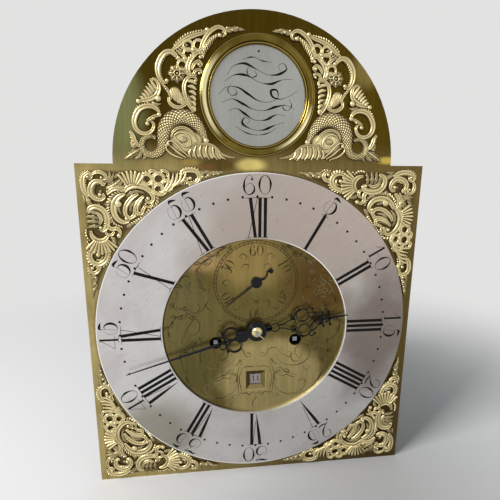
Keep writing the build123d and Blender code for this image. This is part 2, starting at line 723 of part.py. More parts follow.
def hour_bridge():
    """The bridge over the cannon wheel with the pipe that carries the hour wheel."""
    top = BRIDGE_START + BRIDGE_THICKNESS
    bridge = slab(Rectangle(2 * BRIDGE_X + BRIDGE_FOOT, BRIDGE_FOOT), ahead(0), ahead(top))
    bridge -= slab(Rectangle(2 * BRIDGE_X - BRIDGE_FOOT, BRIDGE_FOOT + 2), ahead(0), ahead(BRIDGE_START))
    bridge += rod(CENTRE, BRIDGE_PIPE_RADIUS, ahead(BRIDGE_START), ahead(BRIDGE_PIPE_END))
    bridge -= rod(CENTRE, CANNON_RADIUS + RUNNING, ahead(0), ahead(BRIDGE_PIPE_END + 1))
    for x in (-BRIDGE_X, BRIDGE_X):
        bridge -= rod((x, 0), SCREW_RADIUS + SNUG, ahead(0), ahead(top))
    return bridge


def screw(point, seat, tip):
    """A cheese-head screw whose head sits on a face at y = seat and whose tip is at y = tip."""
    out = 1 if seat > tip else -1
    head = rod(point, SCREW_HEAD_RADIUS, seat, seat + SCREW_HEAD_THICKNESS * out)
    middle = seat + (SCREW_HEAD_THICKNESS - SCREW_SLOT_DEPTH + 0.5) * out
    slot = Box(3 * SCREW_HEAD_RADIUS, 1.0, SCREW_SLOT_WIDTH)
    slot = Pos(point[0], middle, point[1]) * Rot(0, SCREW_SLOT_TURN, 0) * slot
    return head - slot + rod(point, SCREW_RADIUS, seat, tip)


def movement_screws():
    top = BRIDGE_START + BRIDGE_THICKNESS
    screws = [screw((x, 0), ahead(top), INNER_FACE) for x in (-BRIDGE_X, BRIDGE_X)]
    screws += [screw((x, PALLET[1]), BACK_OUTER + COCK_DEPTH, BACK_INNER) for x in (-COCK_X, COCK_X)]
    screws += [screw((BELL_FOOT_X, BELL_FOOT_Z), BACK_OUTER + BELL_FOOT_THICKNESS, BACK_INNER)]
    return Compound(children=screws)


def stud(point, end, radius=STUD_RADIUS):
    """A stud riveted in the front plate."""
    tail = rod(point, radius / 2, INNER_FACE, FRONT_FACE)
    shoulder = rod(point, radius + STUD_SHOULDER, FRONT_FACE, ahead(STUD_SHOULDER))
    return tail + rod(point, radius, FRONT_FACE, ahead(end)) + shoulder


def front_studs():
    studs = [stud(RACK, RACK_STUD_END), stud(HOOK, SHORT_STUD_END), stud(LIFTER, SHORT_STUD_END)]
    studs.append(stud(MINUTE, MINUTE_STUD_END, MINUTE_STUD_RADIUS))
    return Compound(children=studs)


# Going train and hands

def centre_arbor():
    depths = pinion_depths(GREAT_FRONT, GREAT_THICKNESS)
    body = pinion_arbor(CENTRE, GREAT_LEAVES, GREAT_MODULE, RIGHT, depths, front_pivot=False)
    body += rod(CENTRE, CENTRE_ROD_RADIUS, inside(PIVOT_ROOT), before_dial(ARBOR_END))
    hole = Cylinder(HAND_PIN_RADIUS + SNUG, 4 * CENTRE_ROD_RADIUS)
    return body - Pos(0, HAND_PIN_Y, 0) * Rot(0, PIN_TURN, 0) * Rot(0, 90, 0) * hole


def centre_wheel():
    sketch = wheel(CENTRE, CENTRE_TEETH, CENTRE_MODULE, THIRD, ARBOR_RADIUS + SNUG)
    return slab(sketch, inside(CENTRE_WHEEL_FRONT + WHEEL_THICKNESS), inside(CENTRE_WHEEL_FRONT))


def cannon_wheel():
    """The minute pipe with its wheel; its squared end carries the minute hand."""
    start, end = ahead(CANNON_START), ahead(CANNON_START + MOTION_THICKNESS)
    bore = CENTRE_ROD_RADIUS + SNUG
    body = slab(wheel(CENTRE, MOTION_TEETH, MOTION_MODULE, MINUTE, bore, False), start, end)
    pipe = rod(CENTRE, CANNON_RADIUS, ahead(CANNON_START - 1), before_dial(MINUTE_HAND_LIFT))
    square = Rot(0, 0, -MINUTE_ANGLE) * Rectangle(CANNON_SQUARE, CANNON_SQUARE)
    pipe += slab(square, before_dial(MINUTE_HAND_LIFT), before_dial(COLLET_SEAT))
    pipe -= rod(CENTRE, CENTRE_ROD_RADIUS + SNUG, ahead(0), before_dial(COLLET_SEAT + 1))
    return body + pipe


def hand(sketch, angle, lift, thickness, point=CENTRE):
    """A flat hand drawn pointing up, turned clockwise to its angle."""
    return slab(Pos(*point) * Rot(0, 0, -angle) * sketch, before_dial(lift), before_dial(lift + thickness))


def ring(point, outer, inner):
    return disc(point, outer) - disc(point, inner)


def mirrored_pair(make):
    """The same sketch on both sides of a hand's middle line."""
    return make(1) + make(-1)


def minute_hand():
    sketch = Circle(MINUTE_HUB_RADIUS) + disc((0, 14), 5.5)
    sketch += strip([(0, 14), (0, 37)], 2.2)
    sketch += mirrored_pair(lambda side: ring((6.0 * side, 23.5), 6.4, 5.0))
    sketch += strip([(-7.6, 30.6), (7.6, 30.6)], 1.8)
    sketch += mirrored_pair(lambda side: ring((3.4 * side, 34.2), 3.6, 2.3))
    sketch += Polygon((-1.5, 36), (1.5, 36), (1.1, 90), (0.5, MINUTE_LENGTH), (-0.5, MINUTE_LENGTH), (-1.1, 90),
                      align=None)
    sketch -= Rectangle(CANNON_SQUARE + 2 * SNUG, CANNON_SQUARE + 2 * SNUG)
    return hand(sketch, MINUTE_ANGLE, MINUTE_HAND_LIFT, HAND_THICKNESS)


def hour_hand():
    sketch = Circle(8.4) + disc((0, 12), 3.0) + ring((0, 17.6), 4.4, 3.1) + strip([(0, 7), (0, 13)], 3.0)
    sketch += mirrored_pair(
        lambda side: strip([(side, 21.4), (3.0 * side, 29), (7.4 * side, 36.5), (11.5 * side, 38.5)], 1.6)
    )
    sketch += mirrored_pair(lambda side: ring((8.4 * side, 44.5), 7.0, 5.7))
    sketch += mirrored_pair(lambda side: strip([(6.0 * side, 50.5), (0, 55.5), (-3.4 * side, 59)], 1.5))
    sketch += mirrored_pair(lambda side: ring((3.0 * side, 61.5), 3.2, 2.0))
    sketch += strip([(0, 62.5), (0, 72)], 2.0) + strip([(-5.6, 69.5), (5.6, 69.5)], 1.8)
    sketch += Polygon((-3.2, 70.5), (3.2, 70.5), (0.5, HOUR_LENGTH), (-0.5, HOUR_LENGTH), align=None)
    sketch -= Circle(HOUR_SHOULDER_RADIUS + SNUG)
    return hand(sketch, HOUR_ANGLE, HOUR_HAND_LIFT, HAND_THICKNESS)


def seconds_hand():
    blade = [(-0.7, 4), (0.7, 4), (0.35, SECONDS_LENGTH), (-0.35, SECONDS_LENGTH)]
    sketch = Circle(5.2) + Polygon(*blade, align=None)
    sketch += strip([(0, -4), (-1.2, -8), (0.4, -SECONDS_TAIL + 3), (0.6, -SECONDS_TAIL)], 1.2)
    sketch += disc((0.6, -SECONDS_TAIL - 1.6), 2.2)
    sketch -= Circle(GATHER_FRONT_RADIUS + SNUG)
    return hand(sketch, SECONDS_ANGLE, SECONDS_HAND_LIFT, SECONDS_HAND_THICKNESS, ESCAPE)


def hand_collet():
    profile = [
        (CENTRE_ROD_RADIUS + SNUG, before_dial(COLLET_SEAT)), (COLLET_RADIUS, before_dial(COLLET_SEAT)),
        (COLLET_RADIUS, before_dial(COLLET_SEAT + 0.8)), (0.75 * COLLET_RADIUS, before_dial(COLLET_SEAT + 2.0)),
        (CENTRE_ROD_RADIUS + 0.5, before_dial(COLLET_SEAT + COLLET_HEIGHT)),
        (CENTRE_ROD_RADIUS + SNUG, before_dial(COLLET_SEAT + COLLET_HEIGHT)),
    ]
    return turned(CENTRE, profile)


def hand_pin():
    cone = Cone(HAND_PIN_RADIUS, 0.6 * HAND_PIN_RADIUS, HAND_PIN_LENGTH)
    return Pos(0, HAND_PIN_Y, 0) * Rot(0, PIN_TURN, 0) * Rot(0, 90, 0) * Pos(0, 0, HAND_PIN_SHIFT) * cone


def great_wheel(point, teeth, module, mate):
    """A great wheel that runs on its barrel arbor."""
    sketch = wheel(point, teeth, module, mate, BARREL_ARBOR_RADIUS + RUNNING, crossed=False)
    sketch -= disc(click_pivot(point), CLICK_PIVOT_RADIUS + RUNNING)
    return slab(sketch, inside(GREAT_FRONT + GREAT_THICKNESS), inside(GREAT_FRONT))


def click_pivot(point):
    return polar(point, CLICK_DISTANCE, CLICK_DIRECTION)


def click(point):
    """The click on its screw, with its nose just off the ratchet's tips."""
    pivot = click_pivot(point)
    nose = polar(point, RATCHET_RADIUS + CLICK_GAP + CLICK_NOSE_RADIUS, CLICK_DIRECTION + CLICK_SPREAD)
    sketch = make_hull((disc(pivot, CLICK_RADIUS) + disc(nose, CLICK_NOSE_RADIUS)).edges())
    body = slab(sketch, inside(RATCHET_BACK), inside(RATCHET_FRONT + CLICK_CUT))
    pivot_end = inside(GREAT_FRONT + GREAT_THICKNESS)
    return body + rod(pivot, CLICK_PIVOT_RADIUS, inside(RATCHET_BACK), pivot_end)


def barrel(point):
    """The grooved barrel with its ratchet at the back."""
    pitch = (BARREL_BACK - BARREL_FRONT - 4) / BARREL_GROOVES
    bore = BARREL_ARBOR_RADIUS + SNUG
    profile = [(bore, inside(BARREL_FRONT)), (BARREL_RADIUS, inside(BARREL_FRONT))]
    for groove in range(BARREL_GROOVES):
        start = BARREL_FRONT + 2 + groove * pitch
        profile.append((BARREL_RADIUS, inside(start + 0.15 * pitch)))
        profile.append((BARREL_RADIUS - GROOVE_DEPTH, inside(start + 0.5 * pitch)))
        profile.append((BARREL_RADIUS, inside(start + 0.85 * pitch)))
    profile += [(BARREL_RADIUS, inside(BARREL_BACK)), (bore, inside(BARREL_BACK))]
    points = []
    for tooth in range(RATCHET_TEETH):
        middle = tooth * 360 / RATCHET_TEETH
        points.append(polar(CENTRE, RATCHET_RADIUS, middle))
        points.append(polar(CENTRE, RATCHET_RADIUS - RATCHET_TOOTH_DEPTH, middle))
    ratchet = Pos(*point) * (Polygon(*points, align=None) - Circle(bore))
    return turned(point, profile) + slab(ratchet, inside(RATCHET_BACK), inside(RATCHET_FRONT))


def barrel_arbor(point):
    """The winding arbor, with its square just inside the dial's opening."""
    body = rod(point, BARREL_ARBOR_RADIUS, inside(ARBOR_SHAKE), inside(PILLAR_LENGTH - ARBOR_SHAKE))
    body += rod(point, BARREL_BEARING_RADIUS, inside(PIVOT_ROOT), ahead(2))
    body += rod(point, BARREL_BEARING_RADIUS, inside(PILLAR_LENGTH - PIVOT_ROOT), BACK_OUTER + 1)
    square = Pos(*point) * Rectangle(WINDING_SQUARE, WINDING_SQUARE)
    return body + slab(square, ahead(1), DIAL_FRONT + WINDING_RECESS)


def third_arbor():
    depths = pinion_depths(CENTRE_WHEEL_FRONT, WHEEL_THICKNESS)
    return pinion_arbor(THIRD, CENTRE_LEAVES, CENTRE_MODULE, CENTRE, depths)


def third_wheel():
    sketch = wheel(THIRD, THIRD_TEETH, THIRD_MODULE, ESCAPE, ARBOR_RADIUS + SNUG)
    return slab(sketch, inside(THIRD_WHEEL_FRONT + WHEEL_THICKNESS), inside(THIRD_WHEEL_FRONT))


def escape_arbor():
    """The escape arbor, drawn out through the dial for the seconds hand."""
    depths = pinion_depths(THIRD_WHEEL_FRONT, WHEEL_THICKNESS)
    body = pinion_arbor(ESCAPE, THIRD_LEAVES, THIRD_MODULE, THIRD, depths, front_pivot=False)
    end = SECONDS_HAND_LIFT + SECONDS_HAND_THICKNESS + 0.5
    return body + rod(ESCAPE, GATHER_FRONT_RADIUS, inside(PIVOT_ROOT), before_dial(end))


def escape_wheel():
    points = []
    for tooth in range(ESCAPE_TEETH):
        middle = tooth * 360 / ESCAPE_TEETH
        points += [
            polar(CENTRE, ESCAPE_ROOT, middle - 9.0),
            polar(CENTRE, ESCAPE_ROOT, middle - 3.2),
            polar(CENTRE, ESCAPE_RADIUS, middle - 0.8),
            polar(CENTRE, ESCAPE_RADIUS, middle),
        ]
    sketch = Polygon(*points, align=None) - crossings(ESCAPE_ROOT - ESCAPE_RIM_WIDTH, 20)
    sketch -= Circle(ARBOR_RADIUS + SNUG)
    back = inside(ESCAPE_WHEEL_FRONT + WHEEL_THICKNESS)
    return slab(Pos(*ESCAPE) * sketch, back, inside(ESCAPE_WHEEL_FRONT))


def pallets():
    """The anchor over the escape wheel, its nibs held just off the teeth."""
    sketch = disc(PALLET, PALLET_HUB_RADIUS)
    for side in (-1, 1):
        nib = polar(ESCAPE, ESCAPE_RADIUS + PALLET_CLEARANCE + PALLET_TIP_RADIUS, 90 - 45 * side)
        elbow = (nib[0] + 0.6 * side, nib[1] + 5.5)
        sketch += make_hull((disc(PALLET, PALLET_ROOT_RADIUS) + disc(elbow, PALLET_ARM_RADIUS)).edges())
        sketch += make_hull((disc(elbow, PALLET_NIB_RADIUS) + disc(nib, PALLET_TIP_RADIUS)).edges())
    sketch -= disc(PALLET, ARBOR_RADIUS + SNUG)
    back = inside(ESCAPE_WHEEL_FRONT + WHEEL_THICKNESS + PALLET_OVERHANG)
    return slab(sketch, back, inside(ESCAPE_WHEEL_FRONT - PALLET_OVERHANG))


def pallet_arbor():
    """The pallet arbor with the crutch behind the back plate."""
    cock_front = BACK_OUTER + COCK_DEPTH - COCK_THICKNESS
    body = rod(PALLET, ARBOR_RADIUS, inside(ARBOR_SHAKE), cock_front - ARBOR_SHAKE)
    body += rod(PALLET, PIVOT_RADIUS, FRONT_FACE - PIVOT_STANDOUT, inside(PIVOT_ROOT))
    body += rod(PALLET, PIVOT_RADIUS, cock_front - PIVOT_ROOT, cock_front + COCK_THICKNESS + 0.6)
    low = (0, PALLET[1] - CRUTCH_LENGTH)
    start = BACK_OUTER + CRUTCH_DEPTH
    body += slab(strip([PALLET, low], CRUTCH_WIDTH), start + CRUTCH_WIDTH, start)
    fork = slab(Pos(*low) * Rectangle(FORK_WIDTH, FORK_HEIGHT), start + CRUTCH_WIDTH, start)
    for side in (-1, 1):
        x = (FORK_WIDTH - FORK_PRONG) / 2 * side
        prong = Pos(x, low[1]) * Rectangle(FORK_PRONG, FORK_HEIGHT)
        fork += slab(prong, start + FORK_REACH, start)
    return body + fork


# Motion and date work

def minute_wheel():
    """The minute wheel on its short stud, with its pinion standing forward."""
    start, end = CANNON_START, CANNON_START + MOTION_THICKNESS
    sketch = Pos(*MINUTE) * toothed(
        MOTION_TEETH, MOTION_MODULE, heading(MINUTE, CENTRE) + 180 / MOTION_TEETH,
        TOOTH_SHARE, TOOTH_ADDENDUM, TOOTH_DEDENDUM,
    )
    body = slab(sketch, ahead(start), ahead(end)) + rod(MINUTE, 2.4, ahead(1.4), ahead(6.6))
    body += slab(pinion(MINUTE, HOUR_LEAVES, HOUR_MODULE, CENTRE), ahead(end), ahead(SNAIL_START - 0.6))
    return body - rod(MINUTE, MINUTE_STUD_RADIUS + RUNNING, ahead(0), ahead(MINUTE_STUD_END + 0.2))


def hour_wheel():
    """The hour wheel and the date driving wheel on the hour pipe."""
    bore = BRIDGE_PIPE_RADIUS + RUNNING
    body = slab(
        wheel(CENTRE, HOUR_TEETH, HOUR_MODULE, MINUTE, bore),
        ahead(HOUR_WHEEL_START), ahead(HOUR_WHEEL_START + MOTION_THICKNESS),
    )
    body += slab(
        wheel(CENTRE, DAY_DRIVER_TEETH, DAY_MODULE, DAY, bore, crossed=False),
        ahead(DAY_WHEEL_START), ahead(DAY_WHEEL_START + MOTION_THICKNESS),
    )
    pipe = rod(CENTRE, HOUR_PIPE_RADIUS, ahead(HOUR_WHEEL_START - 0.6), before_dial(HOUR_HAND_LIFT))
    shoulder_end = HOUR_HAND_LIFT + HAND_THICKNESS + 0.4
    pipe += rod(CENTRE, HOUR_SHOULDER_RADIUS, before_dial(HOUR_HAND_LIFT), before_dial(shoulder_end))
    pipe -= rod(CENTRE, bore, ahead(0), before_dial(shoulder_end + 1))
    return body + pipe


def snail():
    """The stepped cam that counts the hours; its largest step is one o'clock."""
    drop = TAIL_LENGTH * radians(RACK_STEP)
    tail_pin = rack_tail_pin()
    start = heading(CENTRE, tail_pin) + HOUR_ANGLE - 60
    points = []
    for step in range(SNAIL_STEPS):
        radius = SNAIL_LARGE_RADIUS - step * drop
        for part in range(5):
            points.append(polar(CENTRE, radius, start + (step + part / 4) * 360 / SNAIL_STEPS))
    sketch = Polygon(*points, align=None) - Circle(HOUR_PIPE_RADIUS + SNUG)
    return slab(sketch, ahead(SNAIL_START), ahead(SNAIL_START + MOTION_THICKNESS))


def rack_tail_pin():
    """Where the rack's tail pin waits, one step clear of the snail."""
    reach = hypot(*RACK)
    wait = SNAIL_LARGE_RADIUS + TAIL_LENGTH * radians(RACK_STEP) + TAIL_PIN_RADIUS + TAIL_PIN_WAIT
    cosine = (reach**2 + TAIL_LENGTH**2 - wait**2) / (2 * reach * TAIL_LENGTH)
    swing = degrees(atan2(sqrt(1 - cosine**2), cosine))
    return polar(RACK, TAIL_LENGTH, heading(RACK, CENTRE) - swing)


def day_wheel():
    """The wheel that turns once a day, with the pin that moves the date on."""
    sketch = Pos(*DAY) * (toothed(
        DAY_TEETH, DAY_MODULE, heading(DAY, CENTRE) + 180 / DAY_TEETH,
        TOOTH_SHARE, TOOTH_ADDENDUM, TOOTH_DEDENDUM,
    ) - Circle(DAY_STUD_RADIUS + RUNNING))
    back, front = ahead(DAY_WHEEL_START), ahead(DAY_WHEEL_START + MOTION_THICKNESS)
    body = slab(sketch, back, front)
    hub = rod(DAY, DAY_HUB_RADIUS, back, ahead(DIAL_GAP - DAY_HUB_GAP))
    hub -= rod(DAY, DAY_STUD_RADIUS + RUNNING, back, DIAL_BACK)
    pin = polar(DAY, DAY_PIN_CIRCLE, DAY_PIN_DIRECTION)
    return body + hub + rod(pin, DAY_PIN_RADIUS, front, ahead(DATE_DISC_FRONT))


def date_disc():
    points = []
    for tooth in range(DATE_TEETH):
        middle = 90 + tooth * 360 / DATE_TEETH
        points += [
            polar(CENTRE, DATE_DISC_RADIUS, middle),
            polar(CENTRE, DATE_DISC_RADIUS - DATE_TOOTH_DEPTH, middle + 0.5),
            polar(CENTRE, DATE_DISC_RADIUS - 0.4, middle + 360 / DATE_TEETH - 1.5),
        ]
    sketch = Pos(*DATE) * (Polygon(*points, align=None) - Circle(DATE_STUD_RADIUS + RUNNING))
    return slab(sketch, ahead(DATE_DISC_FRONT - DATE_DISC_THICKNESS), ahead(DATE_DISC_FRONT))


def date_studs():
    """Studs for the day wheel and the date disc, and the jumper that steadies the disc."""
    day = rod(DAY, DAY_STUD_RADIUS, DIAL_BACK, ahead(DAY_WHEEL_START - 1.6))
    day += rod(DAY, DAY_STUD_RADIUS + 1.4, DIAL_BACK, DIAL_BACK + 1.6)
    day += rod(DAY, DAY_STUD_RADIUS + 1.2, ahead(DAY_WHEEL_START - 0.6), ahead(DAY_WHEEL_START - 1.6))
    date = rod(DATE, DATE_STUD_RADIUS, DIAL_BACK, ahead(DATE_DISC_FRONT - 3.6))
    date += rod(DATE, DATE_STUD_RADIUS + 2.2, ahead(DATE_DISC_FRONT - 1.8), ahead(DATE_DISC_FRONT - 3.0))
    post = polar(DATE, DATE_DISC_RADIUS + 12, 20)
    tip = polar(DATE, DATE_DISC_RADIUS + 1.2, 36)
    jumper = rod(post, 2.4, DIAL_BACK, ahead(DATE_DISC_FRONT - 4))
    leaf_back, leaf_front = ahead(DATE_DISC_FRONT - 2.0), ahead(DATE_DISC_FRONT - 0.4)
    jumper += slab(bar(post, tip, 1.2), leaf_back, leaf_front)
    return Compound(children=[day, date, jumper])


# Striking work

def strike_wheel(point, teeth, module, mate, front):
    """A crossed-out wheel of the striking train."""
    sketch = wheel(point, teeth, module, mate, 0.5 * ARBOR_RADIUS)
    return slab(sketch, inside(front + WHEEL_THICKNESS), inside(front))


def pin_wheel():
    """The wheel whose pins lift the hammer, with its arbor and pinion."""
    depths = pinion_depths(GREAT_FRONT, GREAT_THICKNESS)
    body = pinion_arbor(PIN, STRIKE_LEAVES, STRIKE_MODULE, LEFT, depths)
    body += strike_wheel(PIN, PIN_TEETH, PIN_MODULE, GATHER, PIN_WHEEL_FRONT)
    back = inside(PIN_WHEEL_FRONT + WHEEL_THICKNESS)
    for n in range(STRIKE_PINS):
        place = polar(PIN, STRIKE_PIN_CIRCLE, heading(PIN, HAMMER) + (n + 0.5) * 360 / STRIKE_PINS)
        body += rod(place, STRIKE_PIN_RADIUS, back - 0.5, back + STRIKE_PIN_LENGTH)
    return body


def gathering_wheel():
    depths = pinion_depths(PIN_WHEEL_FRONT, WHEEL_THICKNESS)
    body = pinion_arbor(GATHER, PIN_LEAVES, PIN_MODULE, PIN, depths, front_pivot=False)
    body += rod(GATHER, GATHER_FRONT_RADIUS, inside(PIVOT_ROOT), ahead(RACK_START + 2 * RACK_THICKNESS + 2))
    return body + strike_wheel(GATHER, GATHER_TEETH, GATHER_MODULE, WARN, GATHER_WHEEL_FRONT)


def gathering_pallet():
    """The one-toothed pallet that gathers the rack, with its tail."""
    hub = disc(GATHER, GATHER_HUB_RADIUS) - disc(GATHER, GATHER_FRONT_RADIUS + SNUG)
    nib = slab(bar(GATHER, polar(GATHER, 2.4, 150), 1.2) - disc(GATHER, GATHER_FRONT_RADIUS + SNUG),
               ahead(RACK_START), ahead(RACK_START + RACK_THICKNESS))
    tail_start = RACK_START + RACK_THICKNESS + GATHER_TAIL_GAP
    tail = bar(GATHER, polar(GATHER, 14, -20), 2.0) - disc(GATHER, GATHER_FRONT_RADIUS + SNUG)
    body = slab(hub, ahead(RACK_START), ahead(tail_start + RACK_THICKNESS))
    return body + nib + slab(tail, ahead(tail_start), ahead(tail_start + RACK_THICKNESS))


def warning_wheel():
    depths = pinion_depths(GATHER_WHEEL_FRONT, WHEEL_THICKNESS)
    body = pinion_arbor(WARN, GATHER_LEAVES, GATHER_MODULE, GATHER, depths)
    return body + strike_wheel(WARN, WARN_TEETH, WARN_MODULE, FLY, WARN_WHEEL_FRONT)


def fly():
    """The air brake: a two-vaned fan on the last arbor."""
    depths = pinion_depths(WARN_WHEEL_FRONT, WHEEL_THICKNESS)
    body = pinion_arbor(FLY, WARN_LEAVES, WARN_MODULE, WARN, depths)
    vane = Pos(*FLY) * Rot(0, 0, FLY_TURN) * Rectangle(FLY_WIDTH, FLY_THICKNESS)
    hub_start, hub_end = inside(FLY_FRONT + FLY_HUB_START), inside(FLY_FRONT + FLY_HUB_END)
    hub = rod(FLY, ARBOR_RADIUS + FLY_HUB_WALL, hub_start, hub_end)
    return body + slab(vane, inside(FLY_BACK), inside(FLY_FRONT)) + hub


def rack():
    """The rack on its stud: arm, toothed sector and tail with its pin."""
    reach = hypot(GATHER[0] - RACK[0], GATHER[1] - RACK[1])
    tip = reach - RACK_TIP_GAP
    last = heading(RACK, GATHER)
    first = last - (RACK_TEETH + 1) * RACK_STEP
    sweep_angle = RACK_ARM_DIRECTION - first
    inner = tip - RACK_SECTOR_DEPTH
    points = [polar(RACK, inner, RACK_ARM_DIRECTION - n * sweep_angle / 6) for n in range(7)]
    for tooth in range(RACK_TEETH + 1):
        angle = first + tooth * RACK_STEP
        points += [polar(RACK, tip - RACK_TOOTH_DEPTH, angle), polar(RACK, tip, angle + 0.2 * RACK_STEP)]
    points += [polar(RACK, tip - 0.5, RACK_ARM_DIRECTION)]
    sector = Polygon(*points, align=None)
    arm = bar(RACK, polar(RACK, tip - 4, RACK_ARM_DIRECTION - 1.6), RACK_ARM_WIDTH)
    bore = disc(RACK, STUD_RADIUS + RUNNING)
    hub = disc(RACK, RACK_HUB_RADIUS) - bore
    body = slab(sector + arm + hub - bore, ahead(RACK_START), ahead(RACK_START + RACK_THICKNESS))
    pipe = disc(RACK, LEVER_PIPE_RADIUS) - bore
    body += slab(pipe, ahead(LEVER_PIPE_START), ahead(TAIL_START + RACK_THICKNESS))
    tail_pin = rack_tail_pin()
    tail = bar(RACK, tail_pin, RACK_TAIL_WIDTH) + hub - bore
    body += slab(tail, ahead(TAIL_START), ahead(TAIL_START + RACK_THICKNESS))
    return body + rod(tail_pin, TAIL_PIN_RADIUS, ahead(SNAIL_START), ahead(TAIL_START + 0.5))


def lever(pivot, arms, width):
    """A flat lever on a stud."""
    bore = disc(pivot, STUD_RADIUS + RUNNING)
    sketch = disc(pivot, LEVER_HUB_RADIUS)
    for arm in arms:
        sketch += strip([pivot] + arm, width)
    body = slab(sketch - bore, ahead(RACK_START), ahead(RACK_START + RACK_THICKNESS))
    pipe = disc(pivot, LEVER_PIPE_RADIUS) - bore
    return body + slab(pipe, ahead(LEVER_PIPE_START), ahead(RACK_START + 1.4))


def rack_hook():
    """The hook that holds the gathered rack."""
    reach = hypot(GATHER[0] - RACK[0], GATHER[1] - RACK[1])
    nose = polar(RACK, reach - 1.9, heading(RACK, GATHER) - 12)
    return lever(HOOK, [[(nose[0] + 3, nose[1] + 3.5), nose]], 2.6)


def lifting_piece():
    """The lever that the minute wheel's pin raises before the hour."""
    return lever(LIFTER, [[(27.0, -11.0)], [(32.0, 29.0), (8.0, 29.0)]], 3.0)


def hammer():
    """The hammer on its arbor, its head waiting beside the bell's lip."""
    body = arbor(HAMMER)
    stem_x = -BELL_RADIUS - HAMMER_GAP - HAMMER_STEM_RADIUS
    mouth = PLATE_TOP + BELL_LIFT
    stem = Cylinder(HAMMER_STEM_RADIUS, mouth - HAMMER_Z + HAMMER_HEAD_RISE)
    base = Pos(stem_x, BELL_DEPTH, (HAMMER_Z + mouth) / 2) * stem
    hub_start, hub_end = BELL_DEPTH - HAMMER_HUB_HALF, BELL_DEPTH + HAMMER_HUB_HALF
    hub = rod(HAMMER, ARBOR_RADIUS + HAMMER_HUB_WALL, hub_start, hub_end)
    head_x = -BELL_RADIUS - HAMMER_GAP - HAMMER_HEAD_LENGTH / 2
    head = Rot(0, 90, 0) * Cylinder(HAMMER_HEAD_RADIUS, HAMMER_HEAD_LENGTH)
    head = Pos(head_x, BELL_DEPTH, mouth + HAMMER_HEAD_RISE) * head
    to_pin = heading(HAMMER, PIN)
    gap = hypot(PIN[0] - HAMMER[0], PIN[1] - HAMMER[1]) - STRIKE_PIN_CIRCLE - STRIKE_PIN_RADIUS
    start = PIN_WHEEL_FRONT + WHEEL_THICKNESS + HAMMER_WHEEL_GAP
    tip = polar(HAMMER, gap - HAMMER_TAIL_WIDTH / 2 - HAMMER_TAIL_GAP, to_pin)
    tail = slab(bar(HAMMER, tip, HAMMER_TAIL_WIDTH), inside(start + HAMMER_TAIL_THICKNESS), inside(start))
    return body + base + hub + head + tail


def bell():
    """A hemispherical bell, mouth down over the plates."""
    mouth = PLATE_TOP + BELL_LIFT
    outer = [
        (BELL_RADIUS, 0.0), (0.985 * BELL_RADIUS, 0.16), (0.95 * BELL_RADIUS, 0.35),
        (0.88 * BELL_RADIUS, 0.55),
        (0.76 * BELL_RADIUS, 0.74), (BELL_SHOULDER * BELL_RADIUS, 0.87), (0.4 * BELL_RADIUS, 0.965),
        (BELL_CROWN_RADIUS, 1.0),
    ]
    points = [(radius, mouth + share * BELL_HEIGHT) for radius, share in outer]
    points += [(BELL_ROD_RADIUS + SNUG, mouth + BELL_HEIGHT)]
    crown = mouth + BELL_HEIGHT - BELL_WALL
    points += [(BELL_ROD_RADIUS + SNUG, crown), (BELL_CROWN_RADIUS, crown)]
    for radius, share in reversed(outer[:-1]):
        height = max(0.0, share * BELL_HEIGHT - BELL_WALL * share)
        points.append((radius - BELL_WALL * (1 - 0.55 * share), mouth + height))
    profile = Plane.XZ * Polygon(*points, align=None)
    return Pos(0, BELL_DEPTH, 0) * revolve(profile, Axis.Z)


def bell_stand():
    """The bent stand that rises from the back plate into the bell, with its nut."""
    foot_y = BACK_OUTER + BELL_FOOT_THICKNESS / 2
    run = PLATE_TOP + BELL_LIFT + BELL_ROD_RISE
    top = PLATE_TOP + BELL_LIFT + BELL_HEIGHT
    start = (BELL_FOOT_X, foot_y, BELL_FOOT_Z + BELL_ROD_START)
    path = FilletPolyline(
        start, (BELL_FOOT_X, foot_y, run), (0, BELL_DEPTH, run), (0, BELL_DEPTH, top + BELL_ROD_STANDOUT),
        radius=BELL_ROD_BEND,
    )
    stand = sweep(Plane(start) * Circle(BELL_ROD_RADIUS), path)
    foot = Box(BELL_FOOT_WIDTH, BELL_FOOT_THICKNESS, BELL_FOOT_HEIGHT)
    foot = Pos(BELL_FOOT_X, foot_y, BELL_FOOT_Z) * foot
    foot_back = BACK_OUTER + BELL_FOOT_THICKNESS
    foot -= rod((BELL_FOOT_X, BELL_FOOT_Z), SCREW_RADIUS + SNUG, BACK_OUTER, foot_back)
    collar = Cylinder(BELL_COLLAR_RADIUS, BELL_COLLAR_THICKNESS)
    collar = Pos(0, BELL_DEPTH, top - BELL_WALL - BELL_COLLAR_THICKNESS / 2) * collar
    nut = extrude(RegularPolygon(BELL_NUT_RADIUS, 6), BELL_NUT_THICKNESS / 2, both=True)
    nut = Pos(0, BELL_DEPTH, top + BELL_NUT_THICKNESS / 2) * nut
    head_room = rod((BELL_FOOT_X, BELL_FOOT_Z), SCREW_HEAD_RADIUS + 0.4, foot_back, foot_back + 6)
    return stand - head_room + foot + collar + nut


def steel_springs():
    """The hammer spring inside the back plate and the rack spring on the front plate."""
    post = (-66.0, 34.0)
    end = (HAMMER[0] - 5.2, HAMMER[1] - 8.0)
    start = inside(PILLAR_LENGTH)
    hammer_spring = rod(post, 3.4, start, inside(PILLAR_LENGTH - 6))
    hammer_spring += slab(bar(post, end, 1.4), inside(PILLAR_LENGTH - 1), inside(PILLAR_LENGTH - 5))
    rack_post = (-70.0, -20.0)
    rack_spring = rod(rack_post, 3.0, ahead(0), ahead(8))
    blade = strip([rack_post, (-70, -44), (RACK[0] - 6.6, RACK[1] - 4)], 1.0)
    rack_spring += slab(blade, ahead(5.4), ahead(7.6))
    return Compound(children=[hammer_spring, rack_spring])


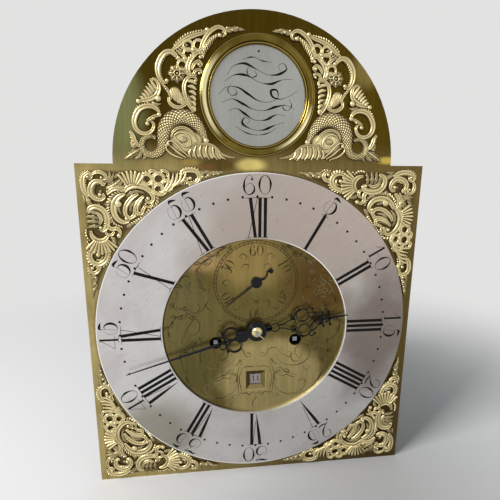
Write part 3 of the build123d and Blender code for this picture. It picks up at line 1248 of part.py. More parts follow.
def nodes():
    """Every sub-part by name."""
    quarters = {"top_left": 0, "top_right": 1, "bottom_right": 2, "bottom_left": 3}
    parts = {"corner_spandrel_" + place: corner_spandrel(quarter) for place, quarter in quarters.items()}
    left_dolphin = arch_dolphin()
    parts.update(
        dial_plate=dial_plate(), dial_feet=dial_feet(), chapter_ring=chapter_ring(),
        arch_boss_ring=arch_boss_ring(), arch_boss_disc=arch_boss_disc(),
        arch_dolphin_left=left_dolphin, arch_dolphin_right=mirror(left_dolphin, Plane.YZ),
        spandrel_screws=spandrel_screws(), taper_pins=taper_pins(),
        front_plate=front_plate(), back_plate=back_plate(), movement_pillars=movement_pillars(),
        back_cock=back_cock(), hour_bridge=hour_bridge(), movement_screws=movement_screws(),
        front_studs=front_studs(), date_studs=date_studs(), steel_springs=steel_springs(),
        centre_arbor=centre_arbor(), centre_wheel=centre_wheel(), cannon_wheel=cannon_wheel(),
        minute_hand=minute_hand(), hour_hand=hour_hand(), seconds_hand=seconds_hand(),
        hand_collet=hand_collet(), hand_pin=hand_pin(),
        going_great_wheel=great_wheel(RIGHT, GREAT_TEETH, GREAT_MODULE, CENTRE),
        going_barrel=barrel(RIGHT), going_barrel_arbor=barrel_arbor(RIGHT), going_click=click(RIGHT),
        strike_great_wheel=great_wheel(LEFT, STRIKE_TEETH, STRIKE_MODULE, PIN),
        strike_barrel=barrel(LEFT), strike_barrel_arbor=barrel_arbor(LEFT), strike_click=click(LEFT),
        third_arbor=third_arbor(), third_wheel=third_wheel(),
        escape_arbor=escape_arbor(), escape_wheel=escape_wheel(),
        pallets=pallets(), pallet_arbor=pallet_arbor(),
        minute_wheel=minute_wheel(), hour_wheel=hour_wheel(), snail=snail(),
        day_wheel=day_wheel(), date_disc=date_disc(),
        pin_wheel=pin_wheel(), gathering_wheel=gathering_wheel(), gathering_pallet=gathering_pallet(),
        warning_wheel=warning_wheel(), fly=fly(), rack=rack(), rack_hook=rack_hook(),
        lifting_piece=lifting_piece(), hammer=hammer(), bell=bell(), bell_stand=bell_stand(),
    )
    return parts


os.makedirs("parts", exist_ok=True)
for name, shape in nodes().items():
    export_step(Pos(0, 0, PLATE_BOTTOM) * shape, f"parts/{name}.step")
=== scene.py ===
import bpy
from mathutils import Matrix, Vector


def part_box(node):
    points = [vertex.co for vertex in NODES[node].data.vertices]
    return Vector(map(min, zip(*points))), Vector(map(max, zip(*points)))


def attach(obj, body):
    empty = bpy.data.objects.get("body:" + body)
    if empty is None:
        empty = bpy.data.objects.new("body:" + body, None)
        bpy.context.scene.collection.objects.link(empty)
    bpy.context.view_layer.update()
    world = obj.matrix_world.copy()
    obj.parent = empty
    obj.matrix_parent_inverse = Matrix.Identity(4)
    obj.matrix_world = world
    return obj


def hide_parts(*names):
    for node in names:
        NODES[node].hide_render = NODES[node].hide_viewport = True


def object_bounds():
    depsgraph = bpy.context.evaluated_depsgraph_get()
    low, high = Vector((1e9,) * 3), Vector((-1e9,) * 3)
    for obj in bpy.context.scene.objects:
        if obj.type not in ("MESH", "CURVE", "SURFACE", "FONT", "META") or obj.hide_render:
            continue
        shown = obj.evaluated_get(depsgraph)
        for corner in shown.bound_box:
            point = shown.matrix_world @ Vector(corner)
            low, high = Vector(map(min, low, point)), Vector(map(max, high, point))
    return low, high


bl_info = {
    "name": "Longcase clock head",
    "version": (1, 0, 0),
    "blender": (4, 5, 0),
    "location": "View3D > Sidebar > Clock",
    "description": "Dresses the packed clock head: engraved dial, castings, hands, finishes and stage",
    "category": "Add Mesh",
}

import bmesh
import bpy
import numpy as np
from mathutils import Euler, Vector

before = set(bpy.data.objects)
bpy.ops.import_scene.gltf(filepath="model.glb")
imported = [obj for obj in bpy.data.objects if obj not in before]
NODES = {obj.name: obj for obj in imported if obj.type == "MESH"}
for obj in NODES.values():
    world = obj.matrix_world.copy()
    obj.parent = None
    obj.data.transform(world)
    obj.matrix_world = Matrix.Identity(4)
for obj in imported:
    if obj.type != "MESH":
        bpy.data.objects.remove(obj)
CAD_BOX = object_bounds()

MM = 0.001
RING_LOW, RING_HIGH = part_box("chapter_ring")
BOSS_LOW, BOSS_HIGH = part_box("arch_boss_ring")
DISC_LOW, DISC_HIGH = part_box("arch_boss_disc")
DATE_LOW, DATE_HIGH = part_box("date_disc")
SECONDS_LOW, SECONDS_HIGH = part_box("escape_arbor")
PLATE_LOW, PLATE_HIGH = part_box("dial_plate")

# The dial's own frame: X right and Z up from the hands' centre, height out of the dial's face, in millimetres
FACE_Y = PLATE_LOW.y
CENTRE_Z = (RING_LOW.z + RING_HIGH.z) / 2
RING_FACE = (FACE_Y - RING_LOW.y) / MM
RING_OUTER = (RING_HIGH.x - RING_LOW.x) / 2 / MM
RING_INNER = min(np.hypot(v.co.x, v.co.z - CENTRE_Z) for v in NODES["chapter_ring"].data.vertices) / MM
BOSS_Z = ((BOSS_LOW.z + BOSS_HIGH.z) / 2 - CENTRE_Z) / MM
BOSS_FACE = (FACE_Y - DISC_LOW.y) / MM
BOSS_OUTER = (BOSS_HIGH.x - BOSS_LOW.x) / 2 / MM
BOSS_INNER = (DISC_HIGH.x - DISC_LOW.x) / 2 / MM
DATE_Z = ((DATE_LOW.z + DATE_HIGH.z) / 2 - CENTRE_Z) / MM
DATE_FACE = (FACE_Y - DATE_LOW.y) / MM
DATE_ORBIT = 42.5
SECONDS_Z = ((SECONDS_LOW.z + SECONDS_HIGH.z) / 2 - CENTRE_Z) / MM
WAX = 0.04
DOT_ORBIT, MINUTE_ORBIT = 125.1, 135.2
SECONDS_OUTER, SECONDS_INNER, SECONDS_ORBIT = 39.4, 37.2, 30.4
CASTING_HIGHEST = 3.2


# Surfaces: each shape is a grid of points worked out from two parameters

class Mould:
    """Gathers gridded surfaces drawn on the dial and casts them as one mesh."""

    def __init__(self, turn=((1, 0), (0, 1)), about=(0, 0)):
        self.turn, self.about = np.array(turn, float), np.array(about, float)
        self.points, self.faces, self.crests, self.total = [], [], [], 0

    def grid(self, x, z, height):
        """Adds closed loops, one a row: the dial's centre plus the turned x and z, less the height.

        A point's crest value is its share of the height of its own row, or of the grid in a turned shape.
        """
        x, z, height = np.broadcast_arrays(x, z, height)
        across, up = np.einsum("ij,jkl->ikl", self.turn, np.stack([x - self.about[0], z - self.about[1]]))
        across, up = across + self.about[0], up + self.about[1]
        place = np.stack([across * MM, FACE_Y - height * MM, CENTRE_Z + up * MM], -1)
        rows, columns = x.shape
        number = np.arange(rows * columns).reshape(rows, columns) + self.total
        number = np.concatenate([number, number[:, :1]], 1)
        quads = np.stack([number[:-1, :-1], number[:-1, 1:], number[1:, 1:], number[1:, :-1]], -1)
        low = height.min()
        span = np.maximum(height.max(1, keepdims=True) - low, 0.35 * (height.max() - low) + 1e-9)
        if np.ptp(height, 1).max() < 1e-9:
            span = height.max() - low + 1e-9
        self.crests.append(((height - low) / span).ravel())
        self.points.append(place.reshape(-1, 3))
        self.faces.append(quads.reshape(-1, 4))
        self.total += rows * columns

    def keep(self, x, z, inner, outer=1e9):
        """Pushes points square to a circle about x and z until they lie between two radii."""
        centre = np.array([x * MM, CENTRE_Z + z * MM])
        for points in self.points:
            away = points[:, [0, 2]] - centre
            reach = np.maximum(np.linalg.norm(away, axis=1), 1e-9)
            share = np.clip(reach, inner * MM, outer * MM) / reach
            points[:, [0, 2]] = centre + away * share[:, None]

    def cast(self, name, material, body, smooth=True, merge=2e-6):
        """Makes the mesh, joins doubled points, turns the faces outwards and lets it ride on a body."""
        mesh = bpy.data.meshes.new(name)
        mesh.from_pydata(np.concatenate(self.points).tolist(), [], np.concatenate(self.faces).tolist())
        mesh.attributes.new("crest", "FLOAT", "POINT").data.foreach_set("value", np.concatenate(self.crests))
        shell = bmesh.new()
        shell.from_mesh(mesh)
        bmesh.ops.remove_doubles(shell, verts=shell.verts, dist=merge)
        bmesh.ops.dissolve_degenerate(shell, edges=shell.edges, dist=merge / 4)
        bmesh.ops.recalc_face_normals(shell, faces=shell.faces)
        shell.to_mesh(mesh)
        shell.free()
        mesh.materials.append(bpy.data.materials[material])
        mesh.polygons.foreach_set("use_smooth", np.full(len(mesh.polygons), smooth))
        piece = bpy.data.objects.new(name, mesh)
        bpy.context.scene.collection.objects.link(piece)
        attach(piece, body)
        return piece


def curve(points, count=30):
    """A path through points: cubic pieces whose slope at each point is the mean of the chords beside it."""
    points = np.asarray(points, float)
    knots = np.concatenate([[0], np.cumsum(np.linalg.norm(np.diff(points, axis=0), axis=1))])
    slope = np.gradient(points, knots, axis=0)
    if np.allclose(points[0], points[-1]):
        slope[0] = slope[-1] = (slope[0] + slope[-1]) / 2
    t = np.linspace(0, knots[-1], count)
    piece = np.clip(np.searchsorted(knots, t, "right") - 1, 0, len(knots) - 2)
    span = (knots[piece + 1] - knots[piece])[:, None]
    s = (t - knots[piece])[:, None] / span
    start, end, a, b = points[piece], points[piece + 1], slope[piece] * span, slope[piece + 1] * span
    return start + a * s + (3 * (end - start) - 2 * a - b) * s**2 + (2 * (start - end) + a + b) * s**3


def arc(x, z, radius, start=0, end=360, count=49):
    """Points on a circle, by angles anticlockwise from the right; a radius pair makes a spiral."""
    turn = np.radians(np.linspace(start, end, count))
    reach = np.linspace(*np.broadcast_to(radius, 2), count)
    return np.stack([x + reach * np.cos(turn), z + reach * np.sin(turn)], -1)


def sides(path):
    """Unit vectors square to a path, to its left; on a closed path the ends share one slope."""
    slope = np.gradient(path, axis=0)
    if np.allclose(path[0], path[-1]):
        slope[0] = slope[-1] = path[1] - path[-2]
    slope = slope / np.maximum(np.linalg.norm(slope, axis=1), 1e-9)[:, None]
    return np.stack([-slope[:, 1], slope[:, 0]], -1)


def spread(values, count):
    """A list of values stretched evenly over a path."""
    values = np.atleast_1d(values).astype(float)
    return np.interp(np.linspace(0, 1, count), np.linspace(0, 1, len(values)), values)[:, None]


ROUND = np.linspace(0, np.pi, 15)
ROUNDED = np.cos(ROUND), np.sin(ROUND).clip(0) ** 0.75
CHAMFERED = np.array([-1, -1, -0.72, 0.72, 1, 1]), np.array([0, 0.55, 1, 1, 0.55, 0])
FLAT = np.array([-1, -0.96, 0.96, 1]), np.array([0, 1, 1, 0])


def sweep(mould, path, widths, low, rise, section=ROUNDED, ripple=1.0):
    """A section carried along a path: across by half the width, up by the rise above low."""
    path = np.asarray(path, float)
    count = len(path)
    half, rise = spread(widths, count) / 2, spread(rise, count)
    across, up = section[0][None], section[1][None]
    side = sides(path)
    x, z = path[:, :1] + side[:, :1] * half * across, path[:, 1:] + side[:, 1:] * half * across
    height = low + rise * up * ripple
    if not np.allclose(path[0], path[-1]):
        x = np.concatenate([0 * across + path[0, 0], x, 0 * across + path[-1, 0]])
        z = np.concatenate([0 * across + path[0, 1], z, 0 * across + path[-1, 1]])
        height = np.concatenate([low + 0 * height[:1], height, low + 0 * height[-1:]])
    mould.grid(x, z, height)


def scroll(mould, points, widths, relief=2.6, ball=None, hollow=0.42, beads=0, low=0.0, count=36, edge=0,
           reach=2.6):
    """A cast scroll: a half oval carried along a curve, its crest grooved into two lines.

    The groove is a bell shape across. Beads cut it into gadroons by a sine along the path.
    An edge of 1 or -1 adds a ribbed border to its left or right.
    """
    path = curve(points, count) if len(points) < count else np.asarray(points, float)
    t = np.linspace(0, 1, len(path))[:, None]
    width = spread(widths, len(path))
    dip = 1 - hollow * np.exp(-(ROUNDED[0][None] / 0.33) ** 2)
    wave = 1 + 0.2 * np.sin(2 * np.pi * beads * t) if beads else 1.0
    if edge:
        border(mould, path + edge * sides(path) * width * 0.2, reach + 0.3 * width.mean(), 0.72 * relief,
               side=edge)
    sweep(mould, path, width[:, 0], low, relief * (0.55 + 0.45 * width[:, 0] / width.max()),
          ripple=dip * wave)
    if ball:
        knob(mould, *ball, relief)


def border(mould, points, reach, relief=1.8, pitch=2.3, lean=0.5, side=1, low=0.0, even=0.35):
    """A gadrooned border: rounded ridges that leave a path on one side and lean along it.

    With w = |cos(pi (n t + 1/2))| to the power 0.7 for n ridges, the reach is 0.78 + 0.22 w of a bow along the
    path, and the height is 0.22 + 0.78 w of a section that falls outwards.
    """
    rough = curve(points, 60) if len(points) < 60 else np.asarray(points, float)
    length = np.linalg.norm(np.diff(rough, axis=0), axis=1).sum()
    ridges = max(2, round(length / pitch))
    path = curve(rough[:: max(1, len(rough) // 30)], 6 * ridges + 1)
    t = np.linspace(0, 1, len(path))[:, None]
    wave = np.abs(np.cos(np.pi * (ridges * t + 0.5))) ** 0.7
    out = np.array([0, 0.3, 0.55, 0.75, 0.9, 1.0, 1.0, 0.0])[None]
    up = np.array([0.9, 1.0, 0.93, 0.78, 0.55, 0.25, 0.0, 0.0])[None]
    bow = even + (1 - even) * np.sin(np.pi * np.clip(t, 0.02, 0.98)) ** 0.5
    normal = side * sides(path)
    slope = side * np.stack([normal[:, 1], -normal[:, 0]], -1)
    way = normal * np.cos(lean) + slope * np.sin(lean)
    offset = 1.15 * reach * bow * out * (0.78 + 0.22 * wave)
    x, z = path[:, :1] + way[:, :1] * offset, path[:, 1:] + way[:, 1:] * offset
    height = low + relief * up * (0.22 + 0.78 * wave)
    close = np.zeros((1, 8))
    mould.grid(np.concatenate([close + path[0, 0], x, close + path[-1, 0]]),
               np.concatenate([close + path[0, 1], z, close + path[-1, 1]]),
               np.concatenate([close + low, height, close + low]))


def turned(mould, x, z, profile, squeeze=1.0, count=20):
    """A turned shape: radius and height pairs carried round a centre, squeezed up and down if asked."""
    radius, height = np.asarray(profile, float).T[..., None]
    turn = np.linspace(0, 2 * np.pi, count, endpoint=False)[None]
    mould.grid(x + radius * np.cos(turn), z + squeeze * radius * np.sin(turn), height + 0 * turn)


def knob(mould, x, z, radius, rise, low=0.0, squeeze=1.0):
    """A rounded boss: the quarter circle from its rim up to its crown."""
    q = np.linspace(0, np.pi / 2, 6)
    dome = np.stack([radius * np.cos(q) ** 0.8, low + rise * np.sin(q)], -1)
    turned(mould, x, z, [(0, low), *dome], squeeze, 16)


def leaf(mould, spine, width, relief=2.2, lobes=4, veins=4, cut=0.3, low=0.0):
    """A lobed leaf: half a sine of width along a spine, cut by lobes, with cosine veins across."""
    path = curve(spine, 30)
    t = np.linspace(0, 1, 30)[:, None]
    turn = np.linspace(0, 2 * np.pi, 25)[None, :-1]
    v, up = np.cos(turn), np.maximum(np.sin(turn), 0) ** 0.6
    swell = np.sin(np.pi * t**0.8) ** 0.8
    half = width / 2 * swell * (1 - cut * np.abs(np.sin(lobes * np.pi * t - 1.1 * np.abs(v))))
    fold = 0.74 + 0.26 * np.cos(veins * np.pi * v * (1 + 0.25 * t))
    side = sides(path)
    height = low + relief * (0.2 + 0.8 * swell) * up * fold
    mould.grid(path[:, :1] + side[:, :1] * half * v, path[:, 1:] + side[:, 1:] * half * v, height)


def rays(mould, x, z, inner, outer, start, end, count, relief=2.0, low=0.0):
    """A fan of ridges from a centre, each a half oval that swells outwards and ends in a round tip."""
    wide = abs(np.radians(end - start)) / (count - 1)
    for turn in np.radians(np.linspace(start, end, count)):
        way = np.linspace(inner, outer, 12)
        path = np.array([x, z]) + way[:, None] * [np.cos(turn), np.sin(turn)]
        widths = 1.3 * wide * way * (1 - 0.4 * ((way - inner) / (outer - inner)) ** 2)
        widths[-1] *= 0.55
        sweep(mould, path, widths, low, relief)


# Engraving: strokes of black wax or cut lines, laid as thin closed ribbons

HAIR = 0.02
STEM = 0.115
DIGITS = {
    "0": [(arc(0, 0, 1, 90, 450, 29) * [0.285, 0.465] + [0.33, 0.5],
           [HAIR, 0.06, STEM, 0.06, HAIR, HAIR, 0.06, STEM, 0.06, HAIR])],
    "1": [([(0.36, 0.01), (0.36, 0.98)], 0.11), ([(0.2, 0.012), (0.54, 0.012)], HAIR),
          ([(0.03, 0.55), (0.14, 0.66), (0.25, 0.84), (0.35, 0.97)], HAIR)],
    "2": [([(0.16, 0.54), (0.15, 0.74), (0.26, 0.92), (0.42, 0.97), (0.57, 0.9), (0.62, 0.72), (0.52, 0.46),
            (0.28, 0.22), (0.02, 0.03)], [0.035, 0.035, HAIR, HAIR, 0.05, STEM, 0.07, 0.03, HAIR]),
          ([(0.02, 0.04), (0.16, 0.1), (0.34, 0.06), (0.5, 0.07), (0.68, 0.12)],
           [HAIR, 0.06, 0.085, 0.08, 0.03])],
    "3": [([(0.03, 0.84), (0.12, 0.94), (0.34, 0.9), (0.56, 0.92), (0.7, 0.96)],
           [HAIR, 0.08, STEM, 0.07, HAIR]),
          ([(0.7, 0.96), (0.5, 0.72), (0.24, 0.42)], HAIR),
          ([(0.34, 0.56), (0.5, 0.6), (0.62, 0.46), (0.61, 0.22), (0.46, 0.05), (0.26, 0.03), (0.1, 0.14),
            (0.06, 0.36),
            (0.14, 0.54), (0.24, 0.62)], [HAIR, 0.05, STEM, STEM, 0.06, HAIR, HAIR, HAIR, HAIR, HAIR])],
    "4": [([(0.48, 0.97), (0.28, 0.62), (0.0, 0.2)], HAIR), ([(0.0, 0.2), (0.7, 0.2)], HAIR),
          ([(0.5, 0.96), (0.5, 0.01)], 0.11), ([(0.34, 0.012), (0.67, 0.012)], HAIR)],
    "5": [([(0.3, 0.83), (0.37, 0.92), (0.5, 0.91), (0.72, 0.84)], [0.03, 0.15, 0.1, 0.012]),
          ([(0.35, 0.9), (0.32, 0.5), (0.28, 0.04)], 0.014),
          ([(0.34, 0.64), (0.46, 0.69), (0.57, 0.6), (0.64, 0.4), (0.59, 0.18), (0.47, 0.05), (0.32, 0.015)],
           [HAIR, 0.05, 0.1, 0.135, 0.115, 0.06, HAIR]),
          ([(0.17, 0.68), (0.06, 0.5), (0.03, 0.3), (0.12, 0.09), (0.32, 0.015)], 0.012)],
    "6": [([(0.46, 0.8), (0.43, 0.93), (0.3, 0.975), (0.14, 0.84), (0.05, 0.54), (0.08, 0.22), (0.24, 0.025),
            (0.44, 0.06), (0.57, 0.26), (0.53, 0.46), (0.4, 0.57), (0.22, 0.53), (0.09, 0.4)],
           [0.03, HAIR, HAIR, 0.06, STEM, 0.09, 0.03, 0.05, STEM, 0.06, HAIR, HAIR, HAIR]),
          ([(0.45, 0.72), (0.45, 0.82)], 0.1)],
    "7": [([(0.04, 0.8), (0.1, 0.94), (0.36, 0.89), (0.64, 0.96)], [HAIR, 0.08, STEM, HAIR]),
          ([(0.64, 0.96), (0.44, 0.5), (0.32, 0.02)], [HAIR, 0.06, 0.1])],
    "8": [([(0.34, 0.53), (0.55, 0.68), (0.53, 0.9), (0.34, 0.975), (0.16, 0.9), (0.13, 0.7), (0.34, 0.53),
            (0.6, 0.34), (0.56, 0.1), (0.34, 0.025), (0.1, 0.1), (0.08, 0.34), (0.34, 0.53)],
           [0.06, HAIR, 0.04, HAIR, 0.06, STEM, STEM, STEM, 0.06, HAIR, 0.04, 0.04, HAIR])],
}
DIGITS["9"] = [(np.array([0.52, 1.0]) - np.array(points), widths) for points, widths in DIGITS["6"]]


def written(mould, text, x, z, size, angle=0.0, low=0.0, narrow=1.0, weight=1.0, count=24):
    """Digits about a centre, tops towards a clock angle, from strokes drawn in a box one unit high."""
    turn = np.radians(angle)
    right, up = np.array([np.cos(turn), -np.sin(turn)]), np.array([np.sin(turn), np.cos(turn)])
    for place, sign in enumerate(text):
        shift = (place - (len(text) - 1) / 2) * 0.77 - 0.34
        for points, widths in DIGITS[sign]:
            points = np.asarray(points, float)
            path = curve(points, count) if len(points) > 2 else points
            u, v = (path[:, :1] + shift) * size * narrow, (path[:, 1:] - 0.5) * size
            sweep(mould, [x, z] + u * right + v * up, np.atleast_1d(widths) * size * weight, low, WAX, FLAT)


def engraved(mould, points, widths=0.5, low=0.0, count=26):
    """A cut line: a ribbon along a curve, fine at both ends unless its widths say otherwise."""
    path = curve(points, count) if len(points) < count else np.asarray(points, float)
    sweep(mould, path, widths, low, WAX, FLAT)


def roman(mould, text, angle):
    """A Roman numeral on the ring: upright thick strokes, leaning thick and thin ones, and serifs on arcs."""
    bottom, top, thick, hair, overhang = 88.9, 124.0, 3.05, 0.5, 2.6
    half = {"I": 2.4, "V": 2.4, "X": 3.9}
    reach = {"I": 1.4, "V": 4.2, "X": 4.6}
    thick_lean, hair_lean = (4.1, 2.5) if text == "X" else (2.3, 3.9)
    centres = np.cumsum([half[sign] + (half[text[k - 1]] if k else 0) for k, sign in enumerate(text)])
    left, right = centres[0] - reach[text[0]], centres[-1] + reach[text[-1]]
    centres, left, right = centres - (left + right) / 2, (left - right) / 2, (right - left) / 2
    turn = np.radians(angle)
    across, up = np.array([np.cos(turn), -np.sin(turn)]), np.array([np.sin(turn), np.cos(turn)])

    def stroke(foot, head, widths, start=bottom):
        """A stroke between two circles, from its foot to its head."""
        ends = np.array([np.sqrt(start**2 - foot**2), np.sqrt(top**2 - head**2)])
        t = np.linspace(0, 1, 9)[:, None]
        path = (foot + (head - foot) * t) * across + (ends[0] + (ends[1] - ends[0]) * t) * up
        sweep(mould, path, widths, RING_FACE, WAX, FLAT)

    def serif(first, last, radius):
        """A hairline along a circle."""
        u = np.linspace(first, last, 15)[:, None]
        sweep(mould, u * across + np.sqrt(radius**2 - u**2) * up, [0.3, 0.5, 0.5, 0.5, 0.3], RING_FACE, WAX,
              FLAT)

    for sign, centre in zip(text, centres):
        if sign == "I":
            stroke(centre, centre, [0.94 * thick, thick])
            serif(centre - 3.1, centre + 3.1, bottom)
        if sign == "V":
            stroke(centre + 0.2, centre - 3.7, [0.35, 0.5 * thick, 0.85 * thick, thick, thick], bottom + 1.2)
            stroke(centre + 0.9, centre + 3.5, hair, bottom + 9)
        if sign == "X":
            stroke(centre + thick_lean, centre - thick_lean, [0.94 * thick, thick])
            stroke(centre - hair_lean, centre + hair_lean, hair)
            serif(centre + thick_lean - 2.6, centre + thick_lean + 3, bottom)
            serif(centre - hair_lean - 2.8, centre - hair_lean + 2.8, bottom)
    serif(left - overhang, right + overhang, top + 0.1)


# Finishes

class Sheet:
    """A short hand for laying out shader nodes and linking or filling their inputs."""

    def __init__(self, tree):
        self.tree = tree

    def add(self, kind, inputs=None, **settings):
        """Adds a node with its settings, and its inputs by number or name."""
        node = self.tree.nodes.new(kind)
        for key, value in settings.items():
            setattr(node, key, value)
        for key, value in (inputs or {}).items():
            self.fill(node.inputs[key], value)
        return node

    def fill(self, socket, value):
        """Links a socket's value or sets it."""
        if isinstance(value, bpy.types.NodeSocket):
            self.tree.links.new(value, socket)
        else:
            socket.default_value = value

    def math(self, operation, first, second=0.0):
        """A calculation with two values."""
        return self.add("ShaderNodeMath", {0: first, 1: second}, operation=operation).outputs[0]

    def step(self, value, low, high, kind="SMOOTHSTEP"):
        """0 below low, 1 above high, smooth between."""
        span = {"Value": value, "From Min": low, "From Max": high}
        return self.add("ShaderNodeMapRange", span, interpolation_type=kind).outputs["Result"]

    def mix(self, factor, first, second, blend="MIX"):
        """Two colours mixed by a factor."""
        node = self.add("ShaderNodeMix", data_type="RGBA", blend_type=blend)
        self.fill(node.inputs[0], factor)
        for key, value in ((6, first), (7, second)):
            self.fill(node.inputs[key], value if isinstance(value, bpy.types.NodeSocket) else (*value, 1.0))
        return node.outputs[2]

    def over(self, colour, mask, share, tint, blend="MIX"):
        """Lays a tint over a colour by a share of a mask."""
        return self.mix(self.math("MULTIPLY", mask, share), colour, tint, blend)

    def reach(self, vector, kept):
        """Length of a vector of which only the kept parts count."""
        vector = self.add("ShaderNodeVectorMath", {0: vector, 1: kept}, operation="MULTIPLY").outputs[0]
        return self.add("ShaderNodeVectorMath", {0: vector}, operation="LENGTH").outputs["Value"]

    def use(self, group, **inputs):
        """The output of an effect; an underscore stands for a space in an input's name."""
        node = self.add("ShaderNodeGroup", node_tree=bpy.data.node_groups[group])
        for key, value in inputs.items():
            self.fill(node.inputs[key.replace("_", " ")], value)
        return node.outputs[0]


def effect(name, inputs, output):
    """A shader node group with named inputs and one output: its sheet, inputs and the output to fill."""
    tree = bpy.data.node_groups.new(name, "ShaderNodeTree")
    for label, kind, value in inputs:
        made = tree.interface.new_socket(name=label, in_out="INPUT", socket_type="NodeSocket" + kind)
        if value is not None:
            made.default_value = value
    tree.interface.new_socket(name=output, in_out="OUTPUT", socket_type="NodeSocketFloat")
    sheet = Sheet(tree)
    return sheet, sheet.add("NodeGroupInput").outputs, sheet.add("NodeGroupOutput").inputs[0]


def make_effects():
    """The effects that several finishes share."""
    sheet, given, out = effect("Straight grain", [
        ("Vector", "Vector", None), ("Across", "Float", 3000.0), ("Along", "Float", 60.0)], "Grain")
    parts = sheet.add("ShaderNodeSeparateXYZ", {0: given["Vector"]}).outputs
    across = sheet.math("MULTIPLY", parts["X"], given["Across"])
    depth = sheet.math("MULTIPLY", parts["Y"], given["Across"])
    along = sheet.math("MULTIPLY", parts["Z"], given["Along"])
    place = sheet.add("ShaderNodeCombineXYZ", {0: across, 1: depth, 2: along}).outputs[0]
    noise = sheet.add("ShaderNodeTexNoise", {"Vector": place, "Scale": 1.0, "Detail": 3.0, "Roughness": 0.6})
    sheet.tree.links.new(noise.outputs[0], out)

    sheet, given, out = effect("Turned grain", [
        ("Vector", "Vector", None), ("Fineness", "Float", 3000.0), ("Wander", "Float", 30.0)], "Grain")
    parts = sheet.add("ShaderNodeSeparateXYZ", {0: given["Vector"]}).outputs
    flat = sheet.add("ShaderNodeCombineXYZ", {0: parts["X"], 2: parts["Z"]}).outputs[0]
    radius = sheet.add("ShaderNodeVectorMath", {0: flat}, operation="LENGTH").outputs["Value"]
    rings = sheet.math("MULTIPLY", radius, given["Fineness"])
    place = sheet.add("ShaderNodeCombineXYZ", {
        0: rings, 1: sheet.math("MULTIPLY", parts["X"], given["Wander"]),
        2: sheet.math("MULTIPLY", parts["Z"], given["Wander"])}).outputs[0]
    noise = sheet.add("ShaderNodeTexNoise", {"Vector": place, "Scale": 1.0, "Detail": 2.0, "Roughness": 0.6})
    sheet.tree.links.new(noise.outputs[0], out)

    sheet, given, out = effect("Tarnish", [
        ("Vector", "Vector", None), ("Scale", "Float", 20.0), ("Level", "Float", 0.5),
        ("Softness", "Float", 0.12)], "Mask")
    noise = sheet.add("ShaderNodeTexNoise", {
        "Vector": given["Vector"], "Scale": given["Scale"], "Detail": 5.0, "Roughness": 0.58,
        "Distortion": 0.5})
    low = sheet.math("SUBTRACT", given["Level"], given["Softness"])
    high = sheet.math("ADD", given["Level"], given["Softness"])
    sheet.tree.links.new(sheet.step(noise.outputs[0], low, high), out)

    sheet, given, out = effect("Patch", [
        ("Vector", "Vector", None), ("Centre", "Vector", (0, 0, 0)), ("Stretch", "Vector", (1, 0, 1)),
        ("Radius", "Float", 0.05), ("Inner", "Float", 0.35)], "Mask")
    away = sheet.add("ShaderNodeVectorMath", {0: given["Vector"], 1: given["Centre"]},
                     operation="SUBTRACT").outputs[0]
    away = sheet.add("ShaderNodeVectorMath", {0: away, 1: given["Stretch"]}, operation="MULTIPLY").outputs[0]
    reach = sheet.add("ShaderNodeVectorMath", {0: away}, operation="LENGTH").outputs["Value"]
    share = sheet.math("DIVIDE", reach, given["Radius"])
    edge = sheet.add("ShaderNodeTexNoise",
                     {"Vector": given["Vector"], "Scale": 18.0, "Detail": 4.0}).outputs[0]
    ragged = sheet.math("ADD", share, sheet.math("MULTIPLY", sheet.math("SUBTRACT", edge, 0.5), 0.9))
    sheet.tree.links.new(sheet.math("SUBTRACT", 1.0, sheet.step(ragged, given["Inner"], 1.05)), out)

    sheet, given, out = effect("Relief", [
        ("Vector", "Vector", None), ("Low", "Float", 0.0), ("High", "Float", 0.003)], "Mask")
    depth = sheet.add("ShaderNodeSeparateXYZ", {0: given["Vector"]}).outputs["Y"]
    above = sheet.math("SUBTRACT", FACE_Y, depth)
    sheet.tree.links.new(sheet.step(above, given["Low"], given["High"]), out)


def finish(name, metallic, roughness, coat=0.0):
    """A new material: its sheet, its Principled shader's inputs and the Object coordinates."""
    material = bpy.data.materials.new(name)
    material.use_nodes = True
    sheet = Sheet(material.node_tree)
    shader = material.node_tree.nodes["Principled BSDF"].inputs
    shader["Metallic"].default_value = metallic
    shader["Roughness"].default_value = roughness
    shader["Coat Weight"].default_value = coat
    place = sheet.add("ShaderNodeTexCoord").outputs["Object"]
    return sheet, shader, place


def centred(sheet, place, x, z):
    """Object coordinates with their zero moved to a point of the dial's face."""
    return sheet.add("ShaderNodeVectorMath", {0: place, 1: (x, FACE_Y, z)}, operation="SUBTRACT").outputs[0]


def wire(sheet, shader, colour, roughness=None, bump=None, strength=0.2, distance=0.00005):
    """Links a colour, a roughness value and a bump height to a material's shader."""
    sheet.tree.links.new(colour, shader["Base Color"])
    if roughness is not None:
        sheet.tree.links.new(roughness, shader["Roughness"])
    if bump is not None:
        node = sheet.add("ShaderNodeBump", {"Height": bump, "Strength": strength, "Distance": distance})
        sheet.tree.links.new(node.outputs[0], shader["Normal"])


